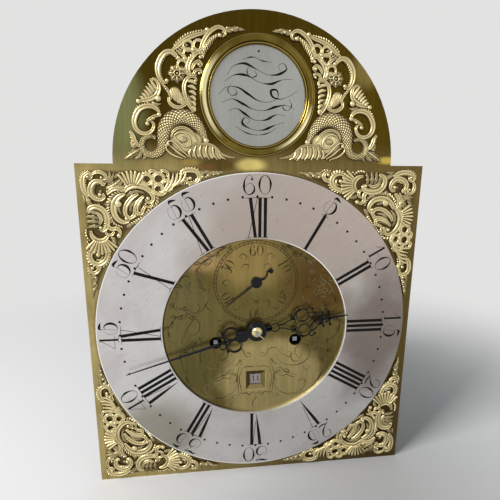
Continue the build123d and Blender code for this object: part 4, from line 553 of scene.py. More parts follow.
def dial_brass(colours):
    """Vertically brushed brass, randomly tarnished; pale below the centre, olive and brown above, by painted
    reflections.
    """
    sheet, shader, place = finish("Dial brass", 1.0, 0.3)
    grain = sheet.use("Straight grain", Vector=place, Across=2600.0, Along=70.0)
    bands = sheet.use("Straight grain", Vector=place, Across=240.0, Along=16.0)
    age = sheet.use("Tarnish", Vector=place, Scale=16.0, Level=0.52, Softness=0.2)
    spots = sheet.use("Tarnish", Vector=place, Scale=420.0, Level=0.7, Softness=0.05)

    def patch(x, z, radius, wide=1.0, tall=1.0, inner=0.35):
        """A soft spot on the dial, in millimetres from the hands' centre."""
        return sheet.use("Patch", Vector=place, Centre=(x * MM, FACE_Y, CENTRE_Z + z * MM),
                         Stretch=(1 / wide, 0.0, 1 / tall), Radius=radius * MM, Inner=inner)

    parts = sheet.add("ShaderNodeSeparateXYZ", {0: place}).outputs
    arch = sheet.step(parts["Z"], CENTRE_Z + 0.146, CENTRE_Z + 0.175)
    middle = centred(sheet, place, 0.0, CENTRE_Z)
    radius = sheet.reach(middle, (1.0, 0.0, 1.0))
    beyond = sheet.step(radius, 0.143, 0.147)
    # Painted light and shade: outside the ring the plate runs from light on the left to dark on the right.
    rim = sheet.mix(sheet.step(parts["X"], -0.15, 0.14), (0.5, 0.4, 0.165), (0.11, 0.075, 0.024))
    colour = sheet.mix(age, colours.olive, (0.13, 0.1, 0.03))
    colour = sheet.mix(beyond, colour, rim)
    colour = sheet.over(colour, age, sheet.math("MULTIPLY", beyond, 0.5), (0.15, 0.11, 0.035))
    # Painted dark reflection: the arch is darkened to a deep brown.
    colour = sheet.mix(arch, colour, (0.066, 0.042, 0.004))
    # Painted reflections: these patches lay bright and dark reflected surroundings on the plate; the
    # clean-brass one is the pale reflection below the centre.
    colour = sheet.over(colour, patch(-112, 196, 46, 0.5, 1.3), 0.85, (0.22, 0.23, 0.095))
    colour = sheet.over(colour, patch(92, 236, 20, 0.8, 1.2), 0.75, (0.22, 0.17, 0.05))
    colour = sheet.over(colour, patch(-62, 12, 42, 0.7, 1.5), 0.85, (0.17, 0.145, 0.055))
    colour = sheet.over(colour, patch(-8, 64, 40, 1.2, 0.8), 0.8, (0.36, 0.26, 0.09))
    colour = sheet.over(colour, patch(66, 50, 52), 0.9, (0.115, 0.064, 0.018))
    colour = sheet.over(colour, patch(-47, 68, 18, 1.3, 0.8), 0.8, (0.46, 0.31, 0.14))
    colour = sheet.over(colour, patch(-58, -38, 36, 0.8, 1.1), 0.85, (0.125, 0.105, 0.036))
    colour = sheet.over(colour, patch(19, -54, 60, 1.0, 0.78, 0.75), 0.95, colours.brass)
    colour = sheet.over(colour, patch(-34, 152, 15, 1.7, 0.7), 0.9, (0.1, 0.065, 0.014))
    colour = sheet.over(colour, patch(-6, 152, 11, 1.5, 0.65), 0.95, (0.75, 0.6, 0.2))
    colour = sheet.over(colour, patch(118, 157, 9, 1.4, 0.5), 0.8, (0.5, 0.38, 0.07))
    colour = sheet.over(colour, patch(-58, 154, 8, 1.4, 0.5), 0.7, (0.4, 0.28, 0.07))
    colour = sheet.over(colour, patch(-44, 150, 7, 1.4, 0.5), 0.6, (0.24, 0.1, 0.04))
    colour = sheet.over(colour, sheet.step(bands, 0.36, 0.7), 0.38, (1.5, 1.48, 1.42), "MULTIPLY")
    colour = sheet.over(colour, sheet.step(grain, 0.4, 0.7), 0.4, (0.56, 0.54, 0.45), "MULTIPLY")
    colour = sheet.over(colour, spots, 0.7, (0.06, 0.04, 0.012))
    # Painted shade: the plate under and between the corner castings is darkened.
    across = sheet.math("ABSOLUTE", parts["X"])
    up = sheet.math("ABSOLUTE", sheet.math("SUBTRACT", parts["Z"], CENTRE_Z))
    corner = sheet.step(sheet.math("MAXIMUM", across, up), 0.148, 0.1445)
    corner = sheet.math("MULTIPLY", corner, sheet.step(sheet.math("MINIMUM", across, up), 0.036, 0.056))
    colour = sheet.over(colour, sheet.math("MULTIPLY", corner, sheet.step(radius, 0.146, 0.15)), 0.8,
                    (0.06, 0.037, 0.012))
    shade = sheet.math("MULTIPLY", sheet.step(radius, (RING_INNER - 1.6) * MM, (RING_INNER - 0.6) * MM),
                       sheet.step(radius, (RING_INNER + 0.6) * MM, (RING_INNER + 0.2) * MM))
    shade = sheet.math("MULTIPLY", shade, sheet.step(parts["X"], 0.03, -0.05))
    colour = sheet.over(colour, shade, 0.85, (0.02, 0.012, 0.004))
    # Painted shadow: a dark band round the chapter ring's outer edge.
    ring_edge_shadow = sheet.math("MULTIPLY", sheet.step(radius, 0.141, 0.1435), sheet.step(radius, 0.149, 0.145))
    colour = sheet.over(colour, ring_edge_shadow, 0.75, (0.05, 0.03, 0.012))
    # Painted light and shade on the sloped sides of the date opening: left and top darker, right lighter,
    # bottom lightest.
    rise = sheet.math("SUBTRACT", parts["Z"], CENTRE_Z + (DATE_Z + DATE_ORBIT) * MM)
    lit_and_shaded_bevel = sheet.mix(sheet.step(parts["X"], -0.001, 0.001), (0.1, 0.068, 0.022), (0.2, 0.155, 0.055))
    over = sheet.math("SUBTRACT", rise, across)
    under = sheet.math("ADD", rise, across)
    lit_and_shaded_bevel = sheet.mix(sheet.step(over, -0.0003, 0.0003), lit_and_shaded_bevel, (0.085, 0.066, 0.022))
    lit_and_shaded_bevel = sheet.mix(sheet.step(under, 0.0003, -0.0003), lit_and_shaded_bevel, (0.26, 0.205, 0.085))
    colour = sheet.mix(sheet.step(parts["Y"], FACE_Y + 0.00015, FACE_Y + 0.0005), colour, lit_and_shaded_bevel)
    # Painted shade: the walls of the winding holes are near black and not metallic.
    near = sheet.math("MULTIPLY", sheet.step(parts["Z"], CENTRE_Z - 0.034, CENTRE_Z - 0.032),
                      sheet.step(across, 0.06, 0.058))
    well = sheet.math("MULTIPLY", sheet.step(parts["Y"], FACE_Y + 0.00002, FACE_Y + 0.0001), near)
    back = sheet.step(parts["Y"], PLATE_HIGH.y - 0.0003, PLATE_HIGH.y - 0.0001)
    well = sheet.math("MULTIPLY", well, sheet.math("SUBTRACT", 1.0, back))
    colour = sheet.mix(well, colour, (0.006, 0.004, 0.002))
    rear = sheet.mix(age, (0.3, 0.235, 0.095), (0.2, 0.15, 0.055))
    colour = sheet.mix(back, colour, rear)
    rough = sheet.math("ADD", 0.24, sheet.math("MULTIPLY", grain, 0.2))
    sheet.tree.links.new(sheet.math("SUBTRACT", 1.0, well), shader["Metallic"])
    wire(sheet, shader, colour, rough, grain, 0.25)


def silvered(name, tint, aged, x, z, slant, bloom, light_share):
    """Silvered brass: brushed in straight lines, with warmish lilac clouds where the silvering has aged, and
    painted light and shade on the chapter ring.
    """
    sheet, shader, place = finish(name, 0.85, 0.4)
    leaned = sheet.add("ShaderNodeMapping", {"Vector": place, "Rotation": (0.0, slant, 0.0)}).outputs[0]
    lines = sheet.use("Straight grain", Vector=leaned, Across=3000.0, Along=45.0)
    cloud = sheet.use("Tarnish", Vector=place, Scale=15.0, Level=0.5, Softness=0.16)
    specks = sheet.use("Tarnish", Vector=place, Scale=300.0, Level=0.7, Softness=0.06)
    # Painted shade: patches darken the ring's top, its right side and its lower left.
    top = sheet.use("Patch", Vector=place, Centre=(x + 0.045, FACE_Y, z + 0.1), Stretch=(0.8, 0.0, 1.0),
                    Radius=0.12)
    side = sheet.use("Patch", Vector=place, Centre=(x + 0.12, FACE_Y, z - 0.01), Stretch=(1.0, 0.0, 0.8),
                     Radius=0.07)
    foot = sheet.use("Patch", Vector=place, Centre=(x - 0.1, FACE_Y, z - 0.105), Stretch=(1.0, 0.0, 1.2),
                     Radius=0.06)
    colour = sheet.over(tint, cloud, bloom, aged)
    colour = sheet.over(colour, top, light_share, (0.45, 0.37, 0.32))
    colour = sheet.over(colour, side, light_share, (0.19, 0.147, 0.12))
    colour = sheet.over(colour, foot, light_share, (0.3, 0.28, 0.22))
    colour = sheet.over(colour, sheet.step(lines, 0.42, 0.7), 0.3, (0.66, 0.65, 0.66), "MULTIPLY")
    colour = sheet.over(colour, specks, 0.6, (0.22, 0.17, 0.13))
    # Painted highlights: a bright inner edge on the right and a bright outer edge on the left of the ring.
    if light_share:
        middle = centred(sheet, place, x, z)
        flat = sheet.add("ShaderNodeVectorMath", {0: middle, 1: (1.0, 0.0, 1.0)},
                         operation="MULTIPLY").outputs[0]
        radius = sheet.add("ShaderNodeVectorMath", {0: flat}, operation="LENGTH").outputs["Value"]
        over = sheet.add("ShaderNodeSeparateXYZ", {0: place}).outputs["X"]
        inside = sheet.math("MULTIPLY", sheet.step(radius, (RING_INNER + 1.1) * MM, (RING_INNER + 0.5) * MM),
                            sheet.step(over, 0.0, 0.05))
        outside = sheet.math("MULTIPLY", sheet.step(radius, (RING_OUTER - 1.0) * MM, (RING_OUTER - 0.4) * MM),
                             sheet.step(over, 0.06, -0.02))
        colour = sheet.mix(sheet.math("MAXIMUM", inside, outside), colour, (1.0, 0.98, 0.94))
    rough = sheet.math("ADD", 0.32, sheet.math("MULTIPLY", lines, 0.22))
    wire(sheet, shader, colour, rough, lines, 0.18)


def gilt(name, colours, low=None, high=None):
    """Cast and lacquered brass: worn crests pale gold and hollows brown, deepened as painted highlight and
    painted shade.

    The crests come from the mesh's crest values, or from the height over the dial between low and high.
    """
    sheet, shader, place = finish(name, 0.6, 0.3)
    crest = sheet.add("ShaderNodeAttribute", attribute_name="crest").outputs["Fac"]
    crest = sheet.step(crest, 0.42, 0.98)
    if low is not None:
        crest = sheet.use("Relief", Vector=place, Low=low, High=high)
    # Painted shade: the colour darkens towards the hollow colour where the surface turns away from the view.
    side_shade = sheet.add("ShaderNodeLayerWeight", {"Blend": 0.5}).outputs["Facing"]
    crest = sheet.math("MULTIPLY", crest, sheet.math("SUBTRACT", 1.0, sheet.step(side_shade, 0.18, 0.66)))
    grit = sheet.use("Tarnish", Vector=place, Scale=900.0, Level=0.5, Softness=0.3)
    wear = sheet.use("Tarnish", Vector=place, Scale=60.0, Level=0.5, Softness=0.2)
    colour = sheet.mix(crest, colours.recess, colours.gilt)
    colour = sheet.over(colour, wear, 0.25, (0.42, 0.3, 0.11))
    colour = sheet.over(colour, grit, 0.25, (0.6, 0.55, 0.42), "MULTIPLY")
    rough = sheet.math("ADD", 0.32, sheet.math("MULTIPLY", sheet.math("SUBTRACT", 1.0, crest), 0.3))
    wire(sheet, shader, colour, rough, grit, 0.3, 0.0001)


def moulding_brass():
    """The polished moulding round the arch disc: dark gold as painted dark reflection, painted bright crests,
    and green-gold streaks.
    """
    sheet, shader, place = finish("Boss moulding", 1.0, 0.16)
    crest = sheet.add("ShaderNodeAttribute", attribute_name="crest").outputs["Fac"]
    middle = centred(sheet, place, 0.0, CENTRE_Z + BOSS_Z * MM)
    rings = sheet.use("Turned grain", Vector=middle, Fineness=3200.0, Wander=12.0)
    cloud = sheet.use("Tarnish", Vector=place, Scale=40.0, Level=0.5, Softness=0.2)
    left = sheet.use("Patch", Vector=middle, Centre=(-0.046, 0.0, -0.004), Stretch=(1.2, 0.0, 0.65),
                     Radius=0.03)
    right = sheet.use("Patch", Vector=middle, Centre=(0.036, 0.0, -0.028), Stretch=(1.0, 0.0, 1.0),
                      Radius=0.026)
    radius = sheet.reach(middle, (1.0, 0.0, 1.0))

    def band(at, half):
        """A soft ring at a radius, as wide as twice its half, in millimetres."""
        off = sheet.math("ABSOLUTE", sheet.math("SUBTRACT", radius, at * MM))
        return sheet.step(off, half * MM, 0.3 * half * MM)

    # Painted dark reflection in the dark gold base, and painted shade where the moulding is low.
    colour = sheet.mix(cloud, (0.12, 0.08, 0.012), (0.2, 0.145, 0.03))
    colour = sheet.mix(sheet.step(crest, 0.5, 0.2), colour, (0.04, 0.026, 0.005))
    crown = BOSS_INNER + 0.56 * (BOSS_OUTER - BOSS_INNER)
    lit = sheet.math("MULTIPLY", sheet.math("MAXIMUM", left, right), band(crown, 1.9))
    colour = sheet.mix(lit, colour, (0.9, 0.82, 0.48))
    # Painted highlights: bright lines along the inner and outer lips.
    lines = sheet.math("MAXIMUM", band(BOSS_INNER + 1.3, 0.6), band(BOSS_OUTER - 1.0, 0.6))
    colour = sheet.over(colour, lines, 0.55, (0.6, 0.46, 0.15))
    colour = sheet.over(colour, sheet.step(rings, 0.45, 0.7), 0.3, (0.6, 0.56, 0.45), "MULTIPLY")
    rough = sheet.math("ADD", 0.14, sheet.math("MULTIPLY", cloud, 0.1))
    wire(sheet, shader, colour, rough, rings, 0.1)


def workshop_brass(name, colours, tint, grain_along=40.0, shaded_round=()):
    """Filed and polished movement brass: marks, dark spots, and painted shade on the front round the named
    arbors, behind the winding holes.
    """
    sheet, shader, place = finish(name, 1.0, 0.3)
    grain = sheet.use("Straight grain", Vector=place, Across=1800.0, Along=grain_along)
    marks = sheet.use("Tarnish", Vector=place, Scale=45.0, Level=0.52, Softness=0.15)
    spots = sheet.use("Tarnish", Vector=place, Scale=350.0, Level=0.69, Softness=0.05)
    colour = sheet.over(tint, marks, 0.5, colours.olive)
    colour = sheet.over(colour, sheet.step(grain, 0.4, 0.7), 0.3, (0.7, 0.66, 0.55), "MULTIPLY")
    colour = sheet.over(colour, spots, 0.7, (0.1, 0.07, 0.03))
    for node in shaded_round:
        low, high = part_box(node)
        middle = ((low.x + high.x) / 2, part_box("front_plate")[0].y, (low.z + high.z) / 2 - 0.015)
        shade_behind_hole = sheet.use("Patch", Vector=place, Centre=middle, Stretch=(1.0, 15.0, 1.0), Radius=0.042,
                          Inner=0.7)
        # Painted shade: a near-black patch on the front plate, seen through the winding hole.
        colour = sheet.over(colour, shade_behind_hole, 0.95, (0.012, 0.009, 0.004))
    rough = sheet.math("ADD", 0.24, sheet.math("MULTIPLY", marks, 0.16))
    wire(sheet, shader, colour, rough, grain, 0.2)


def steel(name, tint, dark, roughness, blotch, end=None):
    """Steel, bright or blued: fine grain, uneven colour, dark pits and a painted highlight on its end at a
    given height.
    """
    sheet, shader, place = finish(name, 1.0, roughness)
    grain = sheet.use("Turned grain", Vector=place, Fineness=2200.0, Wander=300.0)
    cloud = sheet.use("Tarnish", Vector=place, Scale=120.0, Level=0.5, Softness=0.2)
    pits = sheet.use("Tarnish", Vector=place, Scale=700.0, Level=0.68, Softness=0.05)
    colour = sheet.over(tint, cloud, blotch, dark)
    colour = sheet.over(colour, pits, 0.5, (0.05, 0.035, 0.025))
    if end is not None:
        # Painted highlight: the end face is lighter.
        front = sheet.use("Relief", Vector=place, Low=end - 0.0002, High=end - 0.0001)
        colour = sheet.mix(front, colour, (0.3, 0.32, 0.33))
    rough = sheet.math("ADD", roughness, sheet.math("MULTIPLY", pits, 0.25))
    wire(sheet, shader, colour, rough, grain, 0.15)


def bell_metal(colours):
    """Cast bell metal with turned rings, browned with age."""
    sheet, shader, place = finish("Bell metal", 1.0, 0.3)
    low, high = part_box("bell")
    middle = centred(sheet, place, 0.0, (low.z + high.z) / 2)
    rise = sheet.add("ShaderNodeSeparateXYZ", {0: place}).outputs["Z"]
    rings = sheet.add("ShaderNodeTexNoise", {
        "Vector": sheet.add("ShaderNodeCombineXYZ", {2: sheet.math("MULTIPLY", rise, 1500.0)}).outputs[0],
        "Scale": 1.0, "Detail": 3.0}).outputs[0]
    cloud = sheet.use("Tarnish", Vector=middle, Scale=30.0, Level=0.5, Softness=0.2)
    colour = sheet.mix(cloud, colours.bell, (0.24, 0.19, 0.1))
    colour = sheet.over(colour, sheet.step(rings, 0.4, 0.7), 0.35, (0.6, 0.56, 0.48), "MULTIPLY")
    wire(sheet, shader, colour, sheet.math("ADD", 0.26, sheet.math("MULTIPLY", cloud, 0.2)), rings, 0.3)


def filled(name, tint, roughness, glint=None):
    """Hard wax or a cut line: dark and slightly uneven, with paler stretches where a line glints."""
    sheet, shader, place = finish(name, 0.0, roughness)
    shader["Specular IOR Level"].default_value = 0.12
    cloud = sheet.use("Tarnish", Vector=place, Scale=260.0, Level=0.5, Softness=0.3)
    colour = sheet.mix(cloud, tint, [1.8 * channel for channel in tint])
    if glint:
        lit = sheet.use("Tarnish", Vector=place, Scale=55.0, Level=0.52, Softness=0.06)
        colour = sheet.over(colour, lit, 0.6, glint)
    wire(sheet, shader, colour, sheet.math("ADD", roughness, sheet.math("MULTIPLY", cloud, 0.15)), cloud, 0.2)


WORN_BY = {
    "Dial brass": ["dial_plate"],
    "Silvered ring": ["chapter_ring"],
    "Silvered disc": ["arch_boss_disc"],
    "Silvered date disc": ["date_disc"],
    "Boss moulding": ["arch_boss_ring"],
    "Collet brass": ["hand_collet", "hand_pin"],
    "Plate brass": ["front_plate", "back_plate", "dial_feet", "movement_pillars", "hour_bridge", "back_cock"],
    "Wheel brass": [
        "centre_wheel", "cannon_wheel", "hour_wheel", "snail", "going_great_wheel", "going_barrel",
        "strike_great_wheel", "strike_barrel", "third_wheel", "escape_wheel", "minute_wheel", "day_wheel",
        "gathering_wheel", "fly", "pin_wheel", "warning_wheel"],
    "Bright steel": [
        "centre_arbor", "third_arbor", "pallet_arbor",
        "gathering_pallet", "rack", "rack_hook", "lifting_piece", "hammer", "pallets", "going_click",
        "strike_click",
        "front_studs", "date_studs", "bell_stand", "taper_pins"],
    # Painted shade: the winding arbors' near-black steel.
    "Dark steel": ["going_barrel_arbor", "strike_barrel_arbor"],
    "Blued steel": [
        "minute_hand", "hour_hand", "seconds_hand", "escape_arbor", "movement_screws", "spandrel_screws",
        "steel_springs"],
    "Bell metal": ["bell"],
    "Gilt casting": [name for name in NODES if name.startswith(("corner_spandrel", "arch_dolphin"))],
}


# Sizes and colours that a user may change

def colour_property(name, description, default):
    """A colour setting with its name, description and default."""
    return bpy.props.FloatVectorProperty(
        name=name, description=description, default=default, size=3, min=0.0, max=1.0, subtype="COLOR")


class ClockColours(bpy.types.PropertyGroup):
    """Colours of the clock's finishes and of the stage."""

    # Painted reflection: the pale brass laid on the lower dial plate as its bright reflection.
    brass: colour_property("Clean brass", "Dial plate where it is clean", (0.46, 0.37, 0.16))
    olive: colour_property("Aged brass", "Dial plate where it has aged", (0.17, 0.135, 0.045))
    # Painted highlight and painted shade: the castings' crest colour and hollow colour.
    gilt: colour_property("Gilt crest", "Raised parts of the castings", (0.84, 0.71, 0.37))
    recess: colour_property("Gilt hollow", "Deep parts of the castings", (0.075, 0.045, 0.012))
    silver: colour_property("Silvering", "Chapter ring and discs", (0.68, 0.665, 0.65))
    lilac: colour_property("Aged silvering", "Clouds on the silvering", (0.5, 0.44, 0.42))
    wax: colour_property("Wax", "Filling of numerals and dots", (0.004, 0.0035, 0.003))
    cut: colour_property("Cut line", "Engraved lines in the brass", (0.04, 0.026, 0.01))
    blue: colour_property("Blued steel", "Hands and screws", (0.02, 0.023, 0.029))
    steel: colour_property("Bright steel", "Arbors, levers and squares", (0.5, 0.5, 0.5))
    bell: colour_property("Bell metal", "The bell", (0.5, 0.42, 0.25))
    floor: colour_property("Floor", "The pale ground and background", (0.76, 0.76, 0.755))


class ClockSizes(bpy.types.PropertyGroup):
    """Sizes of the dial's ornament."""

    relief: bpy.props.FloatProperty(
        name="Casting relief", description="Height of the castings over the dial", default=2.9 * MM, min=MM,
        max=CASTING_HIGHEST * MM, unit="LENGTH")
    dot: bpy.props.FloatProperty(
        name="Minute dot", description="Radius of a minute dot", default=1.15 * MM, min=0.2 * MM, max=2 * MM,
        unit="LENGTH")
    minutes: bpy.props.FloatProperty(
        name="Minute numerals", description="Height of the minute numerals", default=17.6 * MM, min=5 * MM,
        max=18 * MM, unit="LENGTH")
    line: bpy.props.FloatProperty(
        name="Engraved line", description="Width of the engraved lines", default=0.64 * MM, min=0.1 * MM,
        max=MM, unit="LENGTH")
    blades: bpy.props.FloatProperty(
        name="Hand strap", description="Width of the hands' pierced straps", default=0.85 * MM, min=0.5 * MM,
        max=2 * MM, unit="LENGTH")


# Ornament, each drawn once and turned or mirrored for its fellows

MIRROR = ((-1, 0), (0, 1))
HOURS = ["XII", "I", "II", "III", "IIII", "V", "VI", "VII", "VIII", "IX", "X", "XI"]
HOUR_TURN, MINUTE_TURN, SECONDS_TURN = 82.0, 253.0, 231.5


def clockwise(degrees):
    """The turn that carries something drawn upright to a clock angle."""
    a = np.radians(degrees)
    return ((np.cos(a), np.sin(a)), (-np.sin(a), np.cos(a)))


def corner_casting(m, relief):
    """The top left spandrel: C and S scrolls, leaves, fans and pierced rings."""
    def s(points, widths, ball=None, **more):
        """A scroll of this casting."""
        scroll(m, points, 1.14 * np.array(widths), relief, ball, **more)

    def fringe(points, reach, share=0.62, **more):
        """A leafy border of this casting."""
        border(m, points, reach, share * relief, **more)

    # Corner: a leafed curl, and the small C scroll with its hooked ball
    s([(-143, 124), (-145.6, 130), (-146.4, 137), (-144.6, 142.6), (-140.8, 144.6), (-138.6, 142.2),
       (-140.6, 139.6), (-142.6, 141)], [2, 4.2, 5, 4.4, 3.6, 3, 2.4, 1.8], (-141.8, 141.4, 1.6), edge=-1,
      reach=1.6)
    fringe([(-147, 128), (-147.6, 134), (-147.4, 140), (-144.6, 145.2), (-140, 146)], 1.8, side=1)
    s([(-139, 143.4), (-135, 145.2), (-130.6, 145), (-127.6, 142), (-129.4, 139.2), (-132, 140.6)],
      [1.6, 3, 3.6, 3.2, 2.4, 1.6], (-131, 141, 1.5))
    s([(-128.6, 133.8), (-131.6, 137.4), (-136.4, 137.6), (-140.2, 133.4), (-140.8, 127.6), (-137.6, 123.6),
       (-132.6, 122.4), (-129.4, 125), (-131, 127.8)], [1.8, 3.6, 4.2, 4.6, 4.6, 4, 3.2, 2.4, 1.8],
      (-133.1, 126.6, 2.1), edge=1, reach=2.2)
    fringe([(-127, 141), (-126.6, 137.6), (-128.6, 134.6)], 3.2, lean=0.2, side=-1)
    for tip, width in (((-127.6, 146), 3.6), ((-124, 147.2), 3.8), ((-120.4, 145.6), 3.6)):
        leaf(m, [(-124.6, 134), (0.5 * (tip[0] - 124.6), 140), tip], width, relief, 3, 3, 0.15)
    leaf(m, [(-128.8, 132), (-123.4, 133.6), (-118.6, 136.6), (-114.6, 141)], 7.0, relief, 5, 5)
    s([(-127.4, 127), (-123.4, 130.6), (-118.4, 131.8), (-113.6, 129.6)], [2, 4, 4, 2], edge=1, reach=2.4)
    s([(-122.6, 138.6), (-120.8, 134.6), (-116.8, 132.6), (-112.8, 134)], [1.4, 2.6, 2.6, 1.6])
    # Crowning fan of big rays and the right hand C scroll under it
    rays(m, -106.6, 129.6, 6.4, 17.2, 52, 128, 7, relief)
    fringe([(-113.4, 128.6), (-109, 134.4), (-102, 137), (-95, 135.6)], 4.4, 0.7, lean=0.1, pitch=2.2, side=1)
    s([(-113.5, 128.4), (-110.4, 132.1), (-105.5, 134.3), (-100.4, 134.2), (-96, 132.7), (-92.4, 129.9),
       (-90.1, 126.6), (-89.6, 122.8), (-91.7, 120.3), (-95, 120.6), (-95.6, 123)],
      [2, 4.6, 5.4, 5.6, 5.4, 5, 4.6, 4.2, 3.4, 2.8, 2], (-93.9, 123.4, 2.2))
    fringe([(-93, 132.6), (-88.6, 128), (-87.4, 122), (-90.4, 117.6), (-95.4, 117.4)], 3.0, side=1)
    s([(-90, 120.2), (-91.4, 117.2), (-94.6, 116.4), (-96.8, 118.4)], [1.8, 2.6, 2.4, 1.6], (-96, 119, 1.3))
    # The left hand C scroll with its shell border, and the teardrops nested between the two
    s([(-112.4, 127.6), (-117.7, 125), (-121.3, 120.9), (-122.8, 116), (-122.7, 111.8), (-121.6, 108.2),
       (-118.4, 104.8), (-114.2, 103.2), (-111, 104.8), (-111.4, 107.8)],
      [2, 4.6, 5.4, 5.6, 5.6, 5.2, 4.8, 4, 3, 2], (-112.7, 106.3, 2.1))
    fringe([(-114, 129.2), (-120.4, 126.8), (-125, 121.4), (-126, 114.6), (-125, 107.6), (-121, 102),
            (-115.6, 99.6)], 3.8, 0.7, side=-1)
    s([(-101.4, 127.4), (-106, 125), (-110.4, 120.6), (-113.4, 114.6), (-113, 109.4), (-109.4, 107),
       (-106, 109.6), (-105.6, 114), (-103.4, 119.6), (-99, 124.4)], [2.2, 4.0, 4.4, 4.2, 3.8, 3.4, 3.2, 3.2,
                                                                      3.4, 2.4])
    s([(-97.4, 125.6), (-101.6, 121), (-104, 115.6), (-103.4, 111.4), (-100, 110.6), (-98.4, 114),
       (-96.4, 117.6)], [2.4, 3.8, 4.2, 3.8, 3.4, 3.2, 2.4])
    leaf(m, [(-103.4, 122.6), (-108.4, 117.4), (-109.6, 110.6)], 4.6, 0.8 * relief, 3, 3)
    leaf(m, [(-98.6, 121.6), (-101.6, 117.6), (-100.6, 112.6)], 4.0, 0.8 * relief, 3, 3)
    leaf(m, [(-112.4, 124.6), (-108.4, 127.8), (-101.6, 129.4), (-95.8, 127.4)], 4.4, 0.8 * relief, 4, 3)
    leaf(m, [(-117.6, 121.6), (-119, 115.4), (-117, 109.4)], 4.4, 0.8 * relief, 4, 3)
    fringe([(-112, 101.6), (-106.8, 104.6), (-101.4, 108), (-96.4, 112.4), (-91.6, 116.6)], 3.6, 0.6,
           lean=0.1, side=-1)
    fringe([(-112, 103.6), (-107, 106.4), (-101.4, 110), (-97, 114.6)], 1.8, 0.8, lean=0.1, side=1)
    # Webs with four dark openings
    for x, z, radius in ((-94.4, 139.6, 4.2), (-84.4, 140, 4.4), (-85, 131.2, 4.1), (-77.4, 134.6, 4.0)):
        s(arc(x, z, radius), [2.8, 3.6, 2.8, 3.6, 2.8], hollow=0.3)
        fringe(arc(x, z, radius + 0.8), 2.0, 0.5, lean=0.2, side=-1)
    s([(-93.5, 143.4), (-90, 146.6), (-86, 145.4), (-86.8, 142.4)], [1.6, 3.2, 3, 1.8])
    s([(-84, 144.4), (-80, 146.8), (-76.4, 144.6), (-77.8, 141.6)], [1.6, 3.2, 3, 1.8])
    s([(-91, 127.6), (-88, 129), (-83.5, 126.6), (-79.4, 128.6), (-77, 132.4)], [2.2, 3, 3, 2.6, 1.6])
    knob(m, -89.6, 135.4, 2.2, relief)
    knob(m, -80.8, 136.6, 1.9, relief)
    # Big ribbed leaf, the leafed curl and the taper of leaves to the right
    fringe([(-86.6, 125), (-80.6, 128.4), (-74.4, 131.6), (-68, 134.8), (-61, 137.4)], 4.6, 0.62, lean=-0.5,
           side=1)
    for k in range(5):
        base = np.array([-82.6 + 3.1 * k, 127.6 + 1.7 * k])
        tip = np.array([-75.4 + 3.6 * k, 144.8 + 0.3 * k])
        bend = (base + tip) / 2 + [1.6, -1.4]
        sweep(m, curve([base, bend, tip], 22), [1.2, 2.4, 3.0, 3.2, 2.6, 1.0], 0.0,
              relief * (0.95 if k % 2 else 0.82))
    s([(-66.4, 140), (-64.4, 145.4), (-58.6, 147.4), (-52.4, 146), (-50.4, 141.4), (-53, 137.4), (-58, 136.4),
       (-61, 138.8), (-59.2, 141.6)], [2, 3.8, 4.4, 4.4, 4, 3.6, 3, 2.4, 1.8], (-57.8, 140.6, 2.0), edge=1,
      reach=1.4)
    fringe([(-66, 134.6), (-59, 136.2), (-52, 138.4), (-45, 140.8), (-38, 142.6)], 2.4, 0.6, lean=-0.3,
           side=1)
    leaf(m, [(-52, 142), (-46.4, 145.4), (-41, 147)], 5.6, relief, 3, 4)
    leaf(m, [(-45.4, 142.6), (-40.4, 145), (-34.6, 146.6)], 5.2, 0.95 * relief, 3, 4)
    leaf(m, [(-39, 143.6), (-34, 145.2), (-28.4, 146.2)], 4.4, 0.9 * relief, 3, 3)
    for x, z, radius in ((-47.4, 142, 1.7), (-42.6, 142.9, 1.6), (-38, 143.9, 1.4), (-33.8, 144.6, 1.2)):
        knob(m, x, z, radius, 0.95 * relief)
    # Left column: leafed scroll with openings, hook and ball
    leaf(m, [(-139.4, 115.6), (-142.4, 120), (-144.6, 126.6)], 6.4, relief, 4, 4)
    s([(-144.4, 110.8), (-142.6, 115), (-139.3, 116.7), (-135.8, 116.5), (-132.6, 114.9), (-129.8, 111.6),
       (-128.6, 107.4), (-128.6, 102.5), (-130.2, 98), (-133.4, 96), (-135.6, 98.4)],
      [2, 4, 4.6, 4.6, 4.8, 5, 5, 4.6, 4, 3, 2], (-134.3, 98.8, 1.9), edge=-1, reach=1.8)
    s([(-138.6, 112.6), (-135.4, 110.2), (-133.6, 105.6), (-135.4, 101.4)], [1.6, 3.4, 3.6, 1.8])
    for start, tip, width in (((-135, 109.6), (-146.6, 113.4), 4.4), ((-134.5, 106.5), (-147.4, 108.4), 4.6),
                              ((-134, 103.5), (-147.6, 103.6), 4.8), ((-134, 100), (-146.6, 98.6), 4.4)):
        leaf(m, [start, (0.5 * start[0] + 0.5 * tip[0], 0.5 * start[1] + 0.5 * tip[1] + 0.9), tip], width,
             relief, 3, 3)
    s([(-128.4, 102.6), (-127.2, 98.6), (-124.4, 97.6), (-121.2, 98), (-118.9, 95.6), (-119.3, 92)],
      [2, 3.8, 4, 3.8, 3.2, 2.6], (-119.8, 91.6, 2.5))
    s([(-131, 96.4), (-129.4, 93), (-126, 92.6), (-123.4, 95.4)], [2, 3, 3, 2])
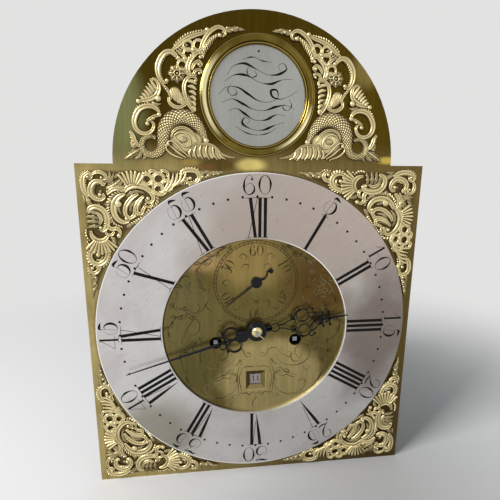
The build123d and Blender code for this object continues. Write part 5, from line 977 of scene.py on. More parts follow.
    # The cup, the shell below it, and the ringed flower
    s([(-143, 96.4), (-142, 91.6), (-137.4, 87.6), (-131.6, 88.4), (-128.2, 93)], [2, 4.4, 4.8, 4.4, 2])
    fringe([(-146, 98), (-146.2, 92.4), (-143.6, 87.4)], 2.2, lean=0.3, side=-1)
    rays(m, -135.2, 93.4, 6.6, 18.4, 226, 318, 9, 0.95 * relief)
    fringe([(-146.4, 88), (-143.4, 82.6), (-136, 78.4), (-129, 79.4), (-125, 84.6)], 2.4, 0.6, lean=0.1,
           side=-1)
    s([(-131.7, 81.6), (-130.7, 75.5), (-133.1, 69.6), (-138.4, 66.7), (-143.6, 69.3), (-145, 75),
       (-142, 79.4), (-138, 77.9)], [2, 4, 4.4, 4.6, 4.4, 4, 3.4, 2.4], (-138.4, 75, 2.3), edge=1, reach=2.0)
    s([(-134.6, 74), (-136.4, 70.6), (-140, 71)], [1.4, 2.4, 1.6])
    s([(-138.6, 66.2), (-139, 61.8), (-142.2, 59.2), (-146, 61.1), (-145.4, 64.8)], [2.2, 3.6, 3.8, 3.2, 2.2],
      (-143.9, 63.3, 1.8))
    fringe([(-146.6, 66.6), (-147.4, 60), (-145, 55.6)], 1.6, side=-1)
    for z, width in ((58.6, 6.0), (52.4, 5.6), (46.4, 4.8)):
        leaf(m, [(-140.6, z + 2.8), (-143.6, z - 1.6), (-146.2, z - 7.4)], width, 0.95 * relief, 3, 4)
    leaf(m, [(-144.2, 47), (-145.2, 41), (-145.9, 36.2)], 3.4, 0.9 * relief, 3, 3)
    for x, z, radius in ((-142.1, 55, 1.6), (-142.9, 49.6, 1.5), (-143.8, 44.6, 1.3)):
        knob(m, x, z, radius, 0.95 * relief)
    # Leaves that fill the gaps between the scrolls
    for x, z, tip_x, tip_z, width in (
            (-126.4, 124, -123.4, 115, 4.6), (-127.6, 120.4, -130.4, 117.4, 3.6),
        (-125.4, 110, -127.4, 101, 4.2),
            (-119.4, 132.4, -112.6, 139.6, 4.4), (-98.6, 136.4, -97.4, 143.6, 4.2),
        (-121.4, 140, -114, 146.4, 4.0),
            (-134.6, 120, -137.6, 114, 4.0), (-132.6, 131, -134.4, 126.4, 3.2),
        (-127.4, 91, -122.8, 85.6, 4.4),
            (-125.4, 89.4, -124.6, 80, 4.2), (-135.6, 79, -139, 72.6, 3.0), (-113.6, 99, -105.6, 103.4, 4.4),
            (-70.6, 137.4, -70, 145.4, 4.2), (-99.4, 107.6, -94, 113, 4.0), (-146.4, 118, -147.4, 127, 3.2)):
        leaf(m, [(x, z), (0.5 * (x + tip_x) + 0.8, 0.5 * (z + tip_z) + 0.6), (tip_x, tip_z)], width,
             0.85 * relief, 3, 3)
    turned(m, -118.8, 118.8, [(0, 0), (3.0, 0), (3.0, 0.75 * relief), (2.2, relief), (0, 1.05 * relief)])
    m.keep(0, 0, RING_OUTER + 0.5)


def scaled_body(m, points, widths, relief):
    """The dolphin's body: a half oval along a curve, carved into lozenge scales by two crossing waves.

    With p along the length and q the way across, and m the smaller of |sin(p + q)| and |sin(p - q)|, the
    height is 1 less a share of exp(-(m / 0.33)^2).
    """
    count, across = 260, 49
    path = curve(points, count)
    turn = np.linspace(0, np.pi, across)[None]
    v, up = np.cos(turn), np.maximum(np.sin(turn), 0) ** 0.75
    width = spread(widths, count)
    length = np.concatenate([[0], np.cumsum(np.linalg.norm(np.diff(path, axis=0), axis=1))])[:, None]
    p, q = length * np.pi / 2.9, v * np.pi * 2.3
    groove = np.exp(-(np.minimum(np.abs(np.sin(p + q)), np.abs(np.sin(p - q))) / 0.33) ** 2)
    side = sides(path)
    x = path[:, :1] + side[:, :1] * width / 2 * v
    z = path[:, 1:] + side[:, 1:] * width / 2 * v
    height = relief * (0.6 + 0.4 * width / width.max()) * up * (1 - 0.52 * groove)
    close = np.zeros((1, across))
    x = np.concatenate([close + path[0, 0], x, close + path[-1, 0]])
    z = np.concatenate([close + path[0, 1], z, close + path[-1, 1]])
    m.grid(x, z, np.concatenate([close, height, close]))


def dolphin_casting(m, relief):
    """The left arch piece: a scaled dolphin head down, leaf scrolls, a rosette, an acorn and a plume."""
    def s(points, widths, ball=None, **more):
        """A scroll of this casting."""
        scroll(m, points, widths, relief, ball, **more)

    def fringe(points, reach, share=0.62, **more):
        """A leafy border of this casting."""
        border(m, points, reach, share * relief, **more)

    # Crowning leaf scrolls along the top
    leaf(m, [(-30, 255.4), (-23.5, 257.3), (-16.5, 258.3), (-10.8, 257.9)], 5.6, 0.95 * relief, 4, 4)
    for x, z, radius in ((-25.6, 258.4, 1.5), (-21.4, 257.2, 1.4), (-17.4, 258.8, 1.2)):
        knob(m, x, z, radius, 0.95 * relief)
    s([(-48.6, 238.5), (-46.8, 242.8), (-44, 248.9), (-40.6, 253.8), (-36.6, 257.2), (-32.2, 258.9),
       (-28.2, 257.4), (-27.2, 253.8), (-29.6, 252)], [2, 3.2, 4, 4.2, 4.2, 4, 3.6, 2.8, 2])
    fringe([(-46.6, 239.4), (-43.4, 245), (-40, 249.6), (-36.2, 253), (-32, 254.6), (-28.6, 253)], 5.0, 0.85,
           pitch=2.3, lean=-0.6, side=-1)
    s([(-45.6, 240.4), (-41.6, 246.4), (-37.4, 250.8), (-32.6, 253)], [1.6, 3, 3.2, 2], (-31.4, 252.9, 2.1))
    s([(-70, 240.2), (-65.6, 243.4), (-60.6, 247.2), (-55.6, 250.4), (-50.4, 252.4), (-45.4, 254),
       (-42, 256.4)], [2, 4, 4.8, 4.6, 4, 3.4, 2.6], (-41.4, 256.6, 2.2))
    fringe([(-68.4, 243.4), (-62.4, 248.4), (-56.4, 252.2), (-50, 254.2), (-44.4, 255.8)], 2.4, 0.8,
           lean=0.5, side=1)
    fringe([(-69, 239.6), (-63, 242.8), (-58, 246.4)], 3.4, 0.6, lean=0.4, side=-1)
    # Webs round the dark openings
    for x, z, radius in ((-57, 244.4, 3.7), (-56.8, 238, 3.8), (-48.6, 244.9, 3.8), (-62, 230, 3.5)):
        s(arc(x, z, radius), [2.2, 3.2, 2.2, 3.0, 2.2], hollow=0.3)
    knob(m, -52.8, 241.4, 2.2, relief)
    knob(m, -59.6, 234.6, 2.1, relief)
    s([(-64.6, 239.4), (-60.6, 236.6), (-58.4, 232.6), (-57.4, 227.8)], [2.2, 4.0, 3.8, 2.2])
    # Long C scroll on the left with its curl, and the flower
    s([(-64.6, 233.4), (-66.2, 236.6), (-70, 239.4), (-74.4, 238.8), (-78.3, 234.9), (-80.9, 229.6),
       (-81.4, 224.4), (-80, 219.4), (-77, 216.4), (-73.8, 216.6)], [2.2, 3.8, 4.6, 5, 5.2, 5.2, 4.8, 4.4,
                                                                     3.6, 2.4], (-74.4, 217.8, 2.1), edge=1,
      reach=1.2)
    knob(m, -64.6, 235, 2.0, relief)
    for turn in np.radians(np.arange(0, 360, 45)):
        way = np.array([np.cos(turn), np.sin(turn)])
        centre = np.array([-66.1, 223.6])
        leaf(m, [centre + 1.6 * way, centre + 4.2 * way, centre + 7.6 * way], 5.4, 0.95 * relief, 1, 2, 0.1)
    s(arc(-66.1, 223.6, 2.4), 1.6, hollow=0)
    knob(m, -66.1, 223.6, 1.4, 0.8 * relief)
    # Right hand scrolls over the big leaf
    s([(-54.6, 221.6), (-57.2, 226.4), (-56.2, 232), (-53, 236.6), (-48.8, 239.6), (-45.4, 238.4),
       (-46.2, 235.4)], [2.4, 4.2, 4.6, 4.6, 4, 3, 2], (-47.2, 236.2, 1.9), edge=1, reach=1.2)
    s([(-54.4, 226.4), (-52, 231.2), (-48.4, 233.2), (-46.4, 230.6), (-48.4, 228.6)],
      [1.8, 3.4, 3.2, 2.6, 1.8], (-48.6, 230.6, 1.6))
    s([(-54, 222), (-50.6, 226.4), (-47, 226.2), (-47.2, 223.4)], [1.8, 3.2, 2.8, 1.8], (-48.4, 223.9, 1.5))
    s([(-61, 226.2), (-58, 223.6), (-54.6, 222.4), (-50.4, 223)], [1.6, 3, 3, 1.8])
    # Big leaf beside the disc: an outer strap and the ribs inside it
    s([(-53.4, 193.8), (-57.2, 199.6), (-60, 206), (-61, 212.6), (-59.4, 218.4), (-55.6, 221.6),
       (-51.6, 220.8), (-50.6, 217.6)], [2, 3.4, 3.8, 4, 4, 3.6, 3, 2], (-51.6, 218.2, 1.7))
    for k in range(6):
        base = np.array([-58.6 + 0.75 * k, 217.8 - 3.9 * k])
        tip = np.array([-50.6 - 0.35 * k, 215.6 - 4.2 * k])
        sweep(m, curve([base, (base + tip) / 2 + [0.4, 1.2], tip], 16), [1.4, 3.2, 3.8, 3.2, 1.2], 0.0,
              0.85 * relief)
    leaf(m, [(-58.4, 208), (-56, 200), (-53, 193.6)], 5.4, 0.9 * relief, 4, 4)
    # Acorn in its cup, and the beaded stalk above it
    fringe([(-79.4, 217.4), (-75.6, 213.6), (-72.6, 209.4), (-71.6, 204.6)], 2.6, 0.9, lean=0.1, pitch=1.6,
           side=-1)
    s([(-78.4, 215.6), (-75, 212), (-72.4, 207.6), (-71.8, 203.4)], [1.6, 2.6, 2.8, 1.8])
    for share, radius in ((0, 5.6), (0.34, 5.2), (0.66, 4.4), (1, 2.8)):
        knob(m, -68.4 + 6.2 * share, 208.4 - 6.8 * share, radius, relief * (0.96 - 0.12 * share))
    for k in range(5):
        start = np.array([-71.6 + 1.7 * k, 211.4 + 0.6 * k - 0.3 * k * k])
        sweep(m, curve([start, start + [1.9, -4.6], [-62.4, 201.2]], 14), [0.8, 1.5, 1.1, 0.6], 0.72 * relief,
              0.3 * relief)
    s([(-73.4, 205.6), (-73, 201.6), (-69.6, 198.4), (-64.6, 197.8), (-60.4, 199.8), (-57.6, 203)],
      [2, 3.6, 4, 3.6, 3, 1.8])
    # Plume on the left
    s([(-97.4, 201.6), (-92.6, 202.6), (-87.4, 203.8), (-83.2, 206.6), (-81, 211.4), (-81.8, 216.2),
       (-85, 218.8), (-87.4, 217)], [2.2, 4.2, 4.8, 4.6, 4.4, 3.8, 3, 2], (-97.6, 201.4, 2.5))
    for k in range(6):
        base = np.array([-94.6 + 2.1 * k, 203 + 1.5 * k])
        tip = np.array([-96.2 + 1.7 * k, 205 + 2.6 * k])
        sweep(m, curve([base + [1.6, -0.4], (base + tip) / 2 + [0.6, 0.6], tip], 14), [1.6, 3.2, 3.4, 1.4],
              0.0, 0.9 * relief)
    leaf(m, [(-93, 204.4), (-87.4, 207.6), (-85, 213), (-86.4, 218.2)], 6.4, relief, 4, 4)
    leaf(m, [(-88, 202), (-83.6, 199.6), (-79.2, 200.4)], 4.2, 0.9 * relief, 2, 3)
    leaf(m, [(-92, 201), (-86, 198.6), (-80.6, 197)], 3.6, 0.85 * relief, 2, 3)
    # C scroll on the left and its inner curl
    s([(-81, 191), (-82.4, 195), (-86.6, 197.8), (-91.6, 198), (-97, 195.6), (-100.6, 190.6), (-102, 185),
       (-100.4, 179.8), (-96.4, 176.8), (-91.6, 176.8), (-87.6, 179.4), (-86.4, 184), (-89, 187),
       (-92, 186.6)], [2.2, 3.6, 4.4, 4.8, 5, 5, 5, 4.8, 4.4, 4, 3.6, 3.2, 2.6, 2], (-91.4, 184.4, 2.2))
    s([(-92, 186.4), (-88.4, 188.6), (-84.4, 190.6), (-81.2, 191.4)], [1.8, 3.2, 3.4, 2.4],
      (-81.6, 191.6, 2.4))
    knob(m, -86.4, 188.6, 1.7, relief)
    fringe([(-83, 198), (-90.6, 200.6), (-98.6, 198.4), (-103.4, 191.4)], 1.6, lean=0.4, side=1)
    # Tail leaves
    s([(-98.6, 166), (-102, 170.6), (-103.6, 175.6), (-105.4, 178.6)], [2.2, 4.2, 4, 1.8], edge=1, reach=1.6)
    leaf(m, [(-99, 168), (-103.6, 166.6), (-105.2, 172)], 5.4, relief, 3, 4)
    leaf(m, [(-98, 164.6), (-104.2, 160.6), (-112.4, 155.4)], 7.6, relief, 4, 5)
    leaf(m, [(-97.4, 163), (-99.4, 158.6), (-104.4, 156)], 5.6, 0.95 * relief, 3, 4)
    leaf(m, [(-95, 161.6), (-94.6, 158), (-97.6, 155.8)], 4.6, 0.9 * relief, 3, 4)
    # Head: cheek, brow, lidded eye, curled lip and strands of the mouth
    knob(m, -62.2, 171.4, 13.2, 0.55 * relief, squeeze=0.9)
    knob(m, -54, 172, 8.0, 0.5 * relief, squeeze=0.9)
    scaled_body(m,
                [(-85.2, 173.2), (-89.8, 174.6), (-94.6, 172.6), (-96.9, 168), (-96, 163.4), (-92.4, 160.4),
                    (-87.4, 159.8), (-82.8, 162), (-80, 167), (-79.2, 173.4), (-77.6, 180.4), (-73.6, 186.4),
                    (-67.2, 190), (-60.4, 190.2), (-54, 187.4), (-49.2, 182.4), (-46, 176.6), (-44.2, 170.4)],
                [3.4, 4.6, 5.4, 6, 6.4, 7, 8, 9.4, 11, 12.4, 13.4, 13.8, 13.6, 12.6, 11, 8.8, 6.6, 4.4],
                relief)
    knob(m, -43.6, 171.4, 2.9, relief)
    s([(-73, 173.6), (-70.8, 178.6), (-66, 181.6), (-60.2, 181.2), (-55, 177.6), (-50.8, 171.6)],
      [1.6, 2.8, 3.2, 3, 2.8, 1.6])
    for lid in ([(-70.2, 175.4), (-66.8, 177.8), (-62.4, 177.9), (-58.6, 174.9), (-56.8, 170.4),
                 (-57.4, 166.6)],
                [(-70.2, 175.4), (-67.7, 171.4), (-64.2, 168.2), (-60.4, 166.4), (-57.4, 166.6)]):
        scroll(m, lid, [1.2, 2, 2.3, 2, 1.2], 0.65 * relief, low=0.3 * relief, hollow=0, count=24)
    knob(m, -62.7, 172.2, 3.5, 0.3 * relief, 0.5 * relief, 0.8)
    turned(m, -62.7, 172.2,
           [(1.7, 0.8 * relief), (1.2, 0.98 * relief), (0.7, 0.7 * relief), (0, 0.7 * relief)])
    for strand, high in (
            ([(-75.6, 166.8), (-75.2, 170.2), (-72.4, 171), (-68.9, 168.6), (-64.8, 163.9), (-60.8, 160.3),
              (-58, 157.8)], 1.0),
            ([(-74.2, 167.2), (-71.4, 165.2), (-67.6, 161.8), (-63.8, 159.4), (-60.6, 157.4)], 0.85),
            ([(-76.6, 168.2), (-76.9, 164.8), (-74.4, 161.6), (-70.2, 159), (-66, 157.6), (-63.2, 156.6)],
             0.95)):
        sweep(m, curve(strand, 30), [1.4, 2.2, 2.4, 2.4, 2, 1.2], 0.0, high * relief)
    knob(m, -75.2, 168.4, 1.9, relief)
    leaf(m, [(-56.8, 161), (-55, 165.4), (-51.6, 169), (-46.4, 170.2)], 5.4, relief, 4, 4)
    # Fin: a scalloped web hung from its top edge, with a bowed rib to every point
    tops = np.array([(-56.6, 164.8), (-52.6, 167), (-48.4, 167.8), (-43.6, 167.6), (-38.4, 166.8),
                     (-33.4, 163)])
    feet = np.array([(-56.4, 157), (-52.1, 156.2), (-46.9, 156.4), (-41.1, 156), (-34.2, 155.8),
                     (-27.2, 156.4)])
    for k in range(5):
        wide = np.linalg.norm(feet[k + 1] - feet[k])
        top, foot = (tops[k] + tops[k + 1]) / 2, (feet[k] + feet[k + 1]) / 2 + [0, 2.0]
        sweep(m, curve([top, (top + foot) / 2 - [1, 0], foot], 16), [0.5 * wide, wide, 1.05 * wide,
                                                                     0.8 * wide], 0.0,
              [0.6 * relief, 0.35 * relief, 0.5 * relief])
    for top, foot in zip(tops, feet):
        sweep(m, curve([top, (top + foot) / 2 + [-1.8, -0.4], foot], 20), [1.8, 2.6, 2.8, 2.2, 0.8], 0.0,
              [0.95 * relief, relief, 0.9 * relief, 0.5 * relief])
    s([(-54, 166), (-50, 168.4), (-44.6, 168.8), (-39.4, 168), (-35, 165), (-31.4, 161.2), (-26, 159),
       (-19, 157.8)], [1.8, 2.8, 3, 3, 2.8, 2.6, 2.2, 1.2])
    turned(m, -82.0, 204.0, [(0, 0), (2.4, 0), (2.4, 0.9 * relief), (0, relief)])
    m.keep(0, BOSS_Z, BOSS_OUTER + 0.4)


def boss_moulding(m, height):
    """The moulding round the arch disc: two steps, a broad roll and a rounded lip, turned as one."""
    outer, inner = BOSS_OUTER, BOSS_INNER
    profile = [(outer, 0), (outer, 0.28), (outer - 0.5, 0.36), (outer - 1.3, 0.36), (outer - 1.5, 0.5)]
    roll = np.linspace(0, np.pi, 13)
    centre, half = inner + 0.56 * (outer - inner), 0.31 * (outer - inner)
    profile += [(centre + half * np.cos(a), 0.46 + 0.54 * np.sin(a) ** 0.8) for a in roll]
    profile += [(inner + 1.9, 0.42), (inner + 1.7, 0.62), (inner + 1.3, 0.7), (inner + 0.9, 0.62),
                (inner + 0.8, 0.44), (inner + 0.5, 0.42), (inner + 0.3, 0.5), (inner, 0.5), (inner, 0),
                (outer, 0)]
    turned(m, 0, BOSS_Z, [(radius, share * height) for radius, share in profile], count=160)


class CLOCK_OT_boss_moulding(bpy.types.Operator):
    """Turns the stepped moulding round the arch disc"""

    bl_idname = "clock.boss_moulding"
    bl_label = "Boss moulding"

    def execute(self, context):
        mould = Mould()
        boss_moulding(mould, (FACE_Y - BOSS_LOW.y) / MM)
        piece = mould.cast("turned_boss_ring", "Boss moulding", "frame")
        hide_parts("arch_boss_ring")
        return {"FINISHED"}


def minute_hand(m, strap, low, rise):
    """A pierced minute hand drawn upright: stepped hub, disc, open loops, cross knobs and a long blade."""
    def bar(points, widths):
        """A strip of the hand, curved where it has more than two points."""
        sweep(m, curve(points, 30) if len(points) > 2 else points, widths, low, rise, CHAMFERED)

    turned(m, 0, 0, [(4.6, low), (9.2, low), (9.2, low + 0.7 * rise), (8.7, low + rise), (7.0, low + rise),
                     (6.6, low + 0.8 * rise), (6.2, low + 0.8 * rise), (5.9, low + rise), (4.6, low + rise),
                     (4.6, low)], count=48)
    turned(m, 0, 14, [(0, low), (5.4, low), (5.4, low + 0.7 * rise), (4.9, low + rise), (0, low + rise)],
           count=32)
    bar([(0, 18.5), (0, 37)], [1.9, 1.5, 1.9])
    for side in (-1, 1):
        bar(arc(6.3 * side, 23.6, 5.5, 0, 360, 41), strap)
        bar([(2.6 * side, 17.6), (7.6 * side, 16.8), (12.0 * side, 20.4), (12.3 * side, 26.2),
             (8.8 * side, 30.4)], [0.9, strap, strap, strap, 0.9])
        bar(arc(3.5 * side, 34.3, 2.9, 0, 360, 31), strap)
        turned(m, 9.0 * side, 31, [(0, low), (1.5, low), (1.4, low + rise), (0, low + rise)], count=16)
        bar([(9.5 * side, 31), (13.6 * side, 33.2)], [1.2, 0.5])
    bar([(-8.6, 31), (8.6, 31)], [1.6, 2.2, 2.8, 2.2, 1.6])
    bar([(0, 36), (0, 125.9)], [2.8, 1.7, 1.5, 1.4, 1.35, 1.3, 1.15, 0.7])


def hour_hand(m, strap, low, rise):
    """A pierced hour hand drawn upright: hub, disc and ring, two arms with curls, rings and an arrow."""
    def bar(points, widths):
        """A strip of the hand, curved where it has more than two points."""
        sweep(m, curve(points, 26) if len(points) > 2 else points, widths, low, rise, CHAMFERED)

    def ball(x, z, radius):
        """A knob on each side of the hand."""
        for side in (-1, 1):
            turned(m, x * side, z, [(0, low), (radius, low), (0.9 * radius, low + rise), (0, low + rise)],
                   count=16)

    turned(m, 0, 0, [(4.95, low), (8.3, low), (8.3, low + 0.7 * rise), (7.8, low + rise), (4.95, low + rise),
                     (4.95, low)], count=48)
    turned(m, 0, 12, [(0, low), (3.1, low), (3.0, low + rise), (0, low + rise)], count=24)
    bar([(0, 7.6), (0, 14.4)], 2.6)
    bar(arc(0, 17.8, 3.9, 0, 360, 37), strap)
    for side in (-1, 1):
        bar([(1.2 * side, 21.4), (2.2 * side, 26.4), (4.4 * side, 31.6), (5.6 * side, 36.2)],
            [0.9, strap, strap, 0.9])
        bar([(5.6 * side, 36.4), (3.0 * side, 38.2), (1.4 * side, 36.4)], [strap, 1.0, 0.6])
        bar([(5.6 * side, 36.2), (9.4 * side, 37.4), (12.4 * side, 40), (13.4 * side, 43)],
            [0.8, strap, strap, 0.9])
        bar(arc(7.7 * side, 45.2, 6.1, 0, 360, 41), strap)
        bar([(12.6 * side, 48.6), (14.6 * side, 52), (12.8 * side, 55.6)], [0.8, strap, 0.6])
        bar([(5.6 * side, 51), (1.6 * side, 54.4), (-1.8 * side, 57.6), (-4.6 * side, 60.6),
             (-3.4 * side, 63.6), (-0.6 * side, 63.4)], [0.8, strap, strap, strap, 1.0, 0.8])
        bar([(9.4 * side, 51.2), (8.6 * side, 55.4), (5.4 * side, 58.8), (2.2 * side, 61.8)],
            [0.8, strap, strap, 0.8])
        bar([(0, 64), (3.6 * side, 64.2), (6.6 * side, 64.4)], [1.2, 1.2, 0.8])
    ball(5.6, 36.3, 1.5)
    ball(6.9, 34.3, 1.0)
    ball(13.4, 42.8, 1.4)
    ball(12.6, 55.4, 1.1)
    ball(2.0, 61.6, 1.3)
    ball(6.6, 64.3, 1.3)
    ball(3.2, 67.4, 1.0)
    ball(6.4, 71, 1.3)
    bar([(0, 55), (0, 72)], [1.6, 2.0, 2.4])
    bar([(-6.4, 71), (6.4, 71)], [1.4, 1.9, 2.6, 1.9, 1.4])
    bar([(0, 69.8), (0, 89)], [3.4, 5.6, 4.6, 3.4, 2.4, 1.5, 0.6])


def seconds_hand(m, low, rise):
    """A seconds hand drawn upright: a disc, a fine blade and a tail curled round a small ball."""
    turned(m, 0, 0, [(1.42, low), (5.1, low), (5.1, low + 0.7 * rise), (4.6, low + rise), (1.42, low + rise),
                     (1.42, low)], count=40)
    sweep(m, [(0, 4.2), (0, 36.4)], [1.6, 1.3, 1.1, 0.9, 0.5], low, rise, CHAMFERED)
    tail = curve([(0, -4.4), (-1.6, -8), (-0.6, -12), (1.6, -14.4), (0.6, -16.8)], 26)
    sweep(m, tail, [2.0, 1.5, 1.3, 1.2, 1.0], low, rise, CHAMFERED)
    turned(m, 0.3, -17.2, [(0, low), (2.3, low), (2.2, low + rise), (0, low + rise)], count=20)


def centre_lines(m, w):
    """The right half of the engraving in the middle of the dial; the left half is its mirror."""
    def e(*points, width=None):
        """A cut line that swells in its middle."""
        engraved(m, points, [0.35 * w, w, 1.5 * w, w, 0.35 * w] if width is None else width)

    def vine(*points, size=6.5, count=7):
        """A stem with pointed leaves on its two sides by turns."""
        e(*points)
        path = curve(points, 6 * count + 1)
        for k, (root, aside) in enumerate(zip(path[3::6], sides(path)[3::6])):
            ahead = np.array([aside[1], -aside[0]])
            aside = aside if k % 2 else -aside
            tip = root + size * (1.1 * ahead + 0.6 * aside)
            for bulge in (0.42, -0.02):
                e(root, (root + tip) / 2 + size * bulge * aside, tip)
            e(root, root + 0.7 * (tip - root), width=0.5 * w)

    vine((44, 36), (50, 44), (59, 48), (68, 44), (74, 35), (74, 26), (68, 20))
    vine((54, 14), (64, 17), (73, 15), (80, 8), (83, -2), size=5.5)
    vine((20, 82), (30, 79), (40, 72), (50, 66), (56, 58), size=5.5)
    vine((52, -2), (57, -12), (64, -20), (74, -24), size=5, count=5)
    # C scroll beside the winding hole, with its inner curl
    e((19.4, -27), (22.6, -33.4), (27.5, -37.2), (37.5, -39.6), (47.2, -37), (53, -30), (53.2, -23),
      (50, -18), (43.4, -17.2), (38.8, -22), (39.6, -29), (43.6, -32), (45.4, -28.6), (43, -26.8))
    e((23, -26), (28, -27.6), (32.6, -30.6), (34.6, -26), (31, -23.8))
    e((36.6, -25), (34.6, -31), (38, -35.4), (43.4, -34.4))
    # Long sweep down to the oval beside the date, and the oval
    e((62, 8), (67.4, -1), (70.8, -12), (71.4, -24), (69.4, -38), (65.6, -51), (60, -60.6), (50.4, -67.6),
      (38, -71.4), (28.4, -69.4), (20.6, -63.4), (17.6, -54.6), (19.4, -46.6), (24.6, -42))
    e((32.4, -70), (42.6, -68.8), (48.8, -63.6), (50, -56.4), (46.8, -53), (43.8, -56))
    e((62.4, -34), (66.4, -39.6), (66.4, -48), (62, -55.6), (55, -61.4))
    e((59, -21.6), (57.6, -24.4), (60.4, -22.2), (62.6, -18.4))
    e((61.4, -29.8), (64.6, -34.2), (68.4, -38.4))
    # Leaf cluster over the oval
    e((20.6, -42), (24, -41), (27.4, -44.4), (31.6, -47), (36, -48.4), (40.8, -50.4))
    e((22.4, -48), (26.4, -50.6), (31, -49), (36.4, -52), (41, -51.4))
    e((27, -44), (30.4, -43.2), (33.4, -45.6), (30.4, -46.6), (27, -44))
    e((20.6, -44), (17.6, -47.4), (18.6, -52.4), (22.2, -55.6))
    for x, z in ((23.4, -45.4), (20.4, -46.6)):
        engraved(m, arc(x, z, 1.1, 0, 360, 17), 0.8 * w)
    e((42, -53), (44, -57), (47, -55.6), (49.6, -58), (46.6, -61.6))
    # Curved frame round the date opening
    e((13.6, -40.4), (15, -45), (16.2, -52.4), (14.6, -60.4), (13.8, -65.4))
    e((15.6, -38), (17.8, -44.6), (18.6, -51), (17, -59), (16.6, -66.6))
    e((13.6, -40.4), (8.6, -38.6), (4, -38.9), (0, -38.2))
    e((15.6, -37.6), (14, -34.6), (15.2, -31.4), (17.6, -35.6), (22, -37.4))
    e((0, -68), (4, -66.6), (6.2, -69.4), (9, -66.4), (12, -67.4), (15.4, -66.4), (17, -68.6), (14.6, -70))
    e((18, -70.6), (20.6, -68.8), (23.4, -70.6), (20.2, -72.6), (18, -70.6))
    # Commas over the date and the long tails
    e((4.6, -27.4), (7, -28.4), (10.6, -26.4), (12, -22), (15.4, -19.6), (20, -20.6), (23.6, -24))
    e((4.8, -26.2), (6.6, -24.4), (9.4, -24.6))
    # Large circle and teardrop out to the side
    e((56.4, -5), (60, -11), (66, -14.2), (73, -13.8), (79.4, -8.4), (82, -0.6), (80.4, 6.4), (76, 10.4))
    e((68.6, -8.6), (66.6, -1.6), (62.2, 6.6), (57.4, 12.8), (53.4, 8.4), (53.6, 1.4), (57.4, -3.2),
      (62, -3.6), (64.4, -0.8))
    e((68.4, -10.2), (70.4, -14.8), (67.2, -18.4))
    e((57.6, 13.4), (50.4, 21), (45.4, 28.4), (43.4, 36), (44.6, 41.6))
    e((40.6, 17.8), (47, 24.8), (49, 31))
    e((13, 12.6), (24, 12.4), (34.4, 10), (44, 6.4), (51, 2.6))
    # Spray of leaves and a flower beyond the seconds ring
    for turn in range(0, 360, 60):
        a = np.radians(turn + 12)
        c, d = np.array([61.4, 35.4]), np.array([np.cos(a), np.sin(a)])
        n = np.array([-d[1], d[0]])
        e(c + 1.6 * d, c + 4.2 * d + 2.1 * n, c + 7.4 * d, c + 4.2 * d - 2.1 * n, c + 1.6 * d)
    engraved(m, arc(61.4, 35.4, 1.4, 0, 360, 17), 0.8 * w)
    e((54, 41), (50.4, 46.4), (53.6, 51.6), (50, 57.4), (53.4, 63))
    e((66, 42.6), (70, 46.6), (68.2, 52), (63.4, 54), (60.6, 50.4), (63.4, 47.6))
    e((69, 34), (74.4, 32.6), (77, 26.6), (74, 22), (70.4, 24.4))
    e((56, 29), (52.4, 24.4), (54.4, 19.4), (59.4, 18.4), (62, 22.4))
    e((64.4, 27.6), (67.4, 21.4), (65.4, 15.4), (69.6, 11.4))
    e((57.6, 57.4), (53, 60.6), (48.4, 66.4), (40.4, 71.2), (33.4, 73.4))
    e((50, 60.4), (44.4, 63.4), (40.6, 68.4), (46.6, 68), (52.4, 63))
    e((34.4, 76), (28.4, 79.8), (30.4, 83.4), (24.4, 83.4))
    e((47, -41.6), (51, -45.4), (54.6, -41.4))
    # Flourishes inside the seconds ring, beside the numerals
    e((11.4, 66.6), (9.2, 70.6), (12.6, 73.4), (15.8, 70.8), (13.4, 68.6))
    e((14.4, 60), (11, 63.6), (7.2, 62.4), (8.4, 58.8))
    e((24, 47), (27.6, 49.4), (31.2, 46.6), (28.4, 43.6), (25.6, 45.4))
    e((9, 21.4), (12.6, 24.4), (11, 28.4), (6.8, 27.4))
    e((15.6, 22.4), (19, 19.6), (22, 22.4))
    e((2.4, 24.4), (0.6, 27.4), (4.2, 30))


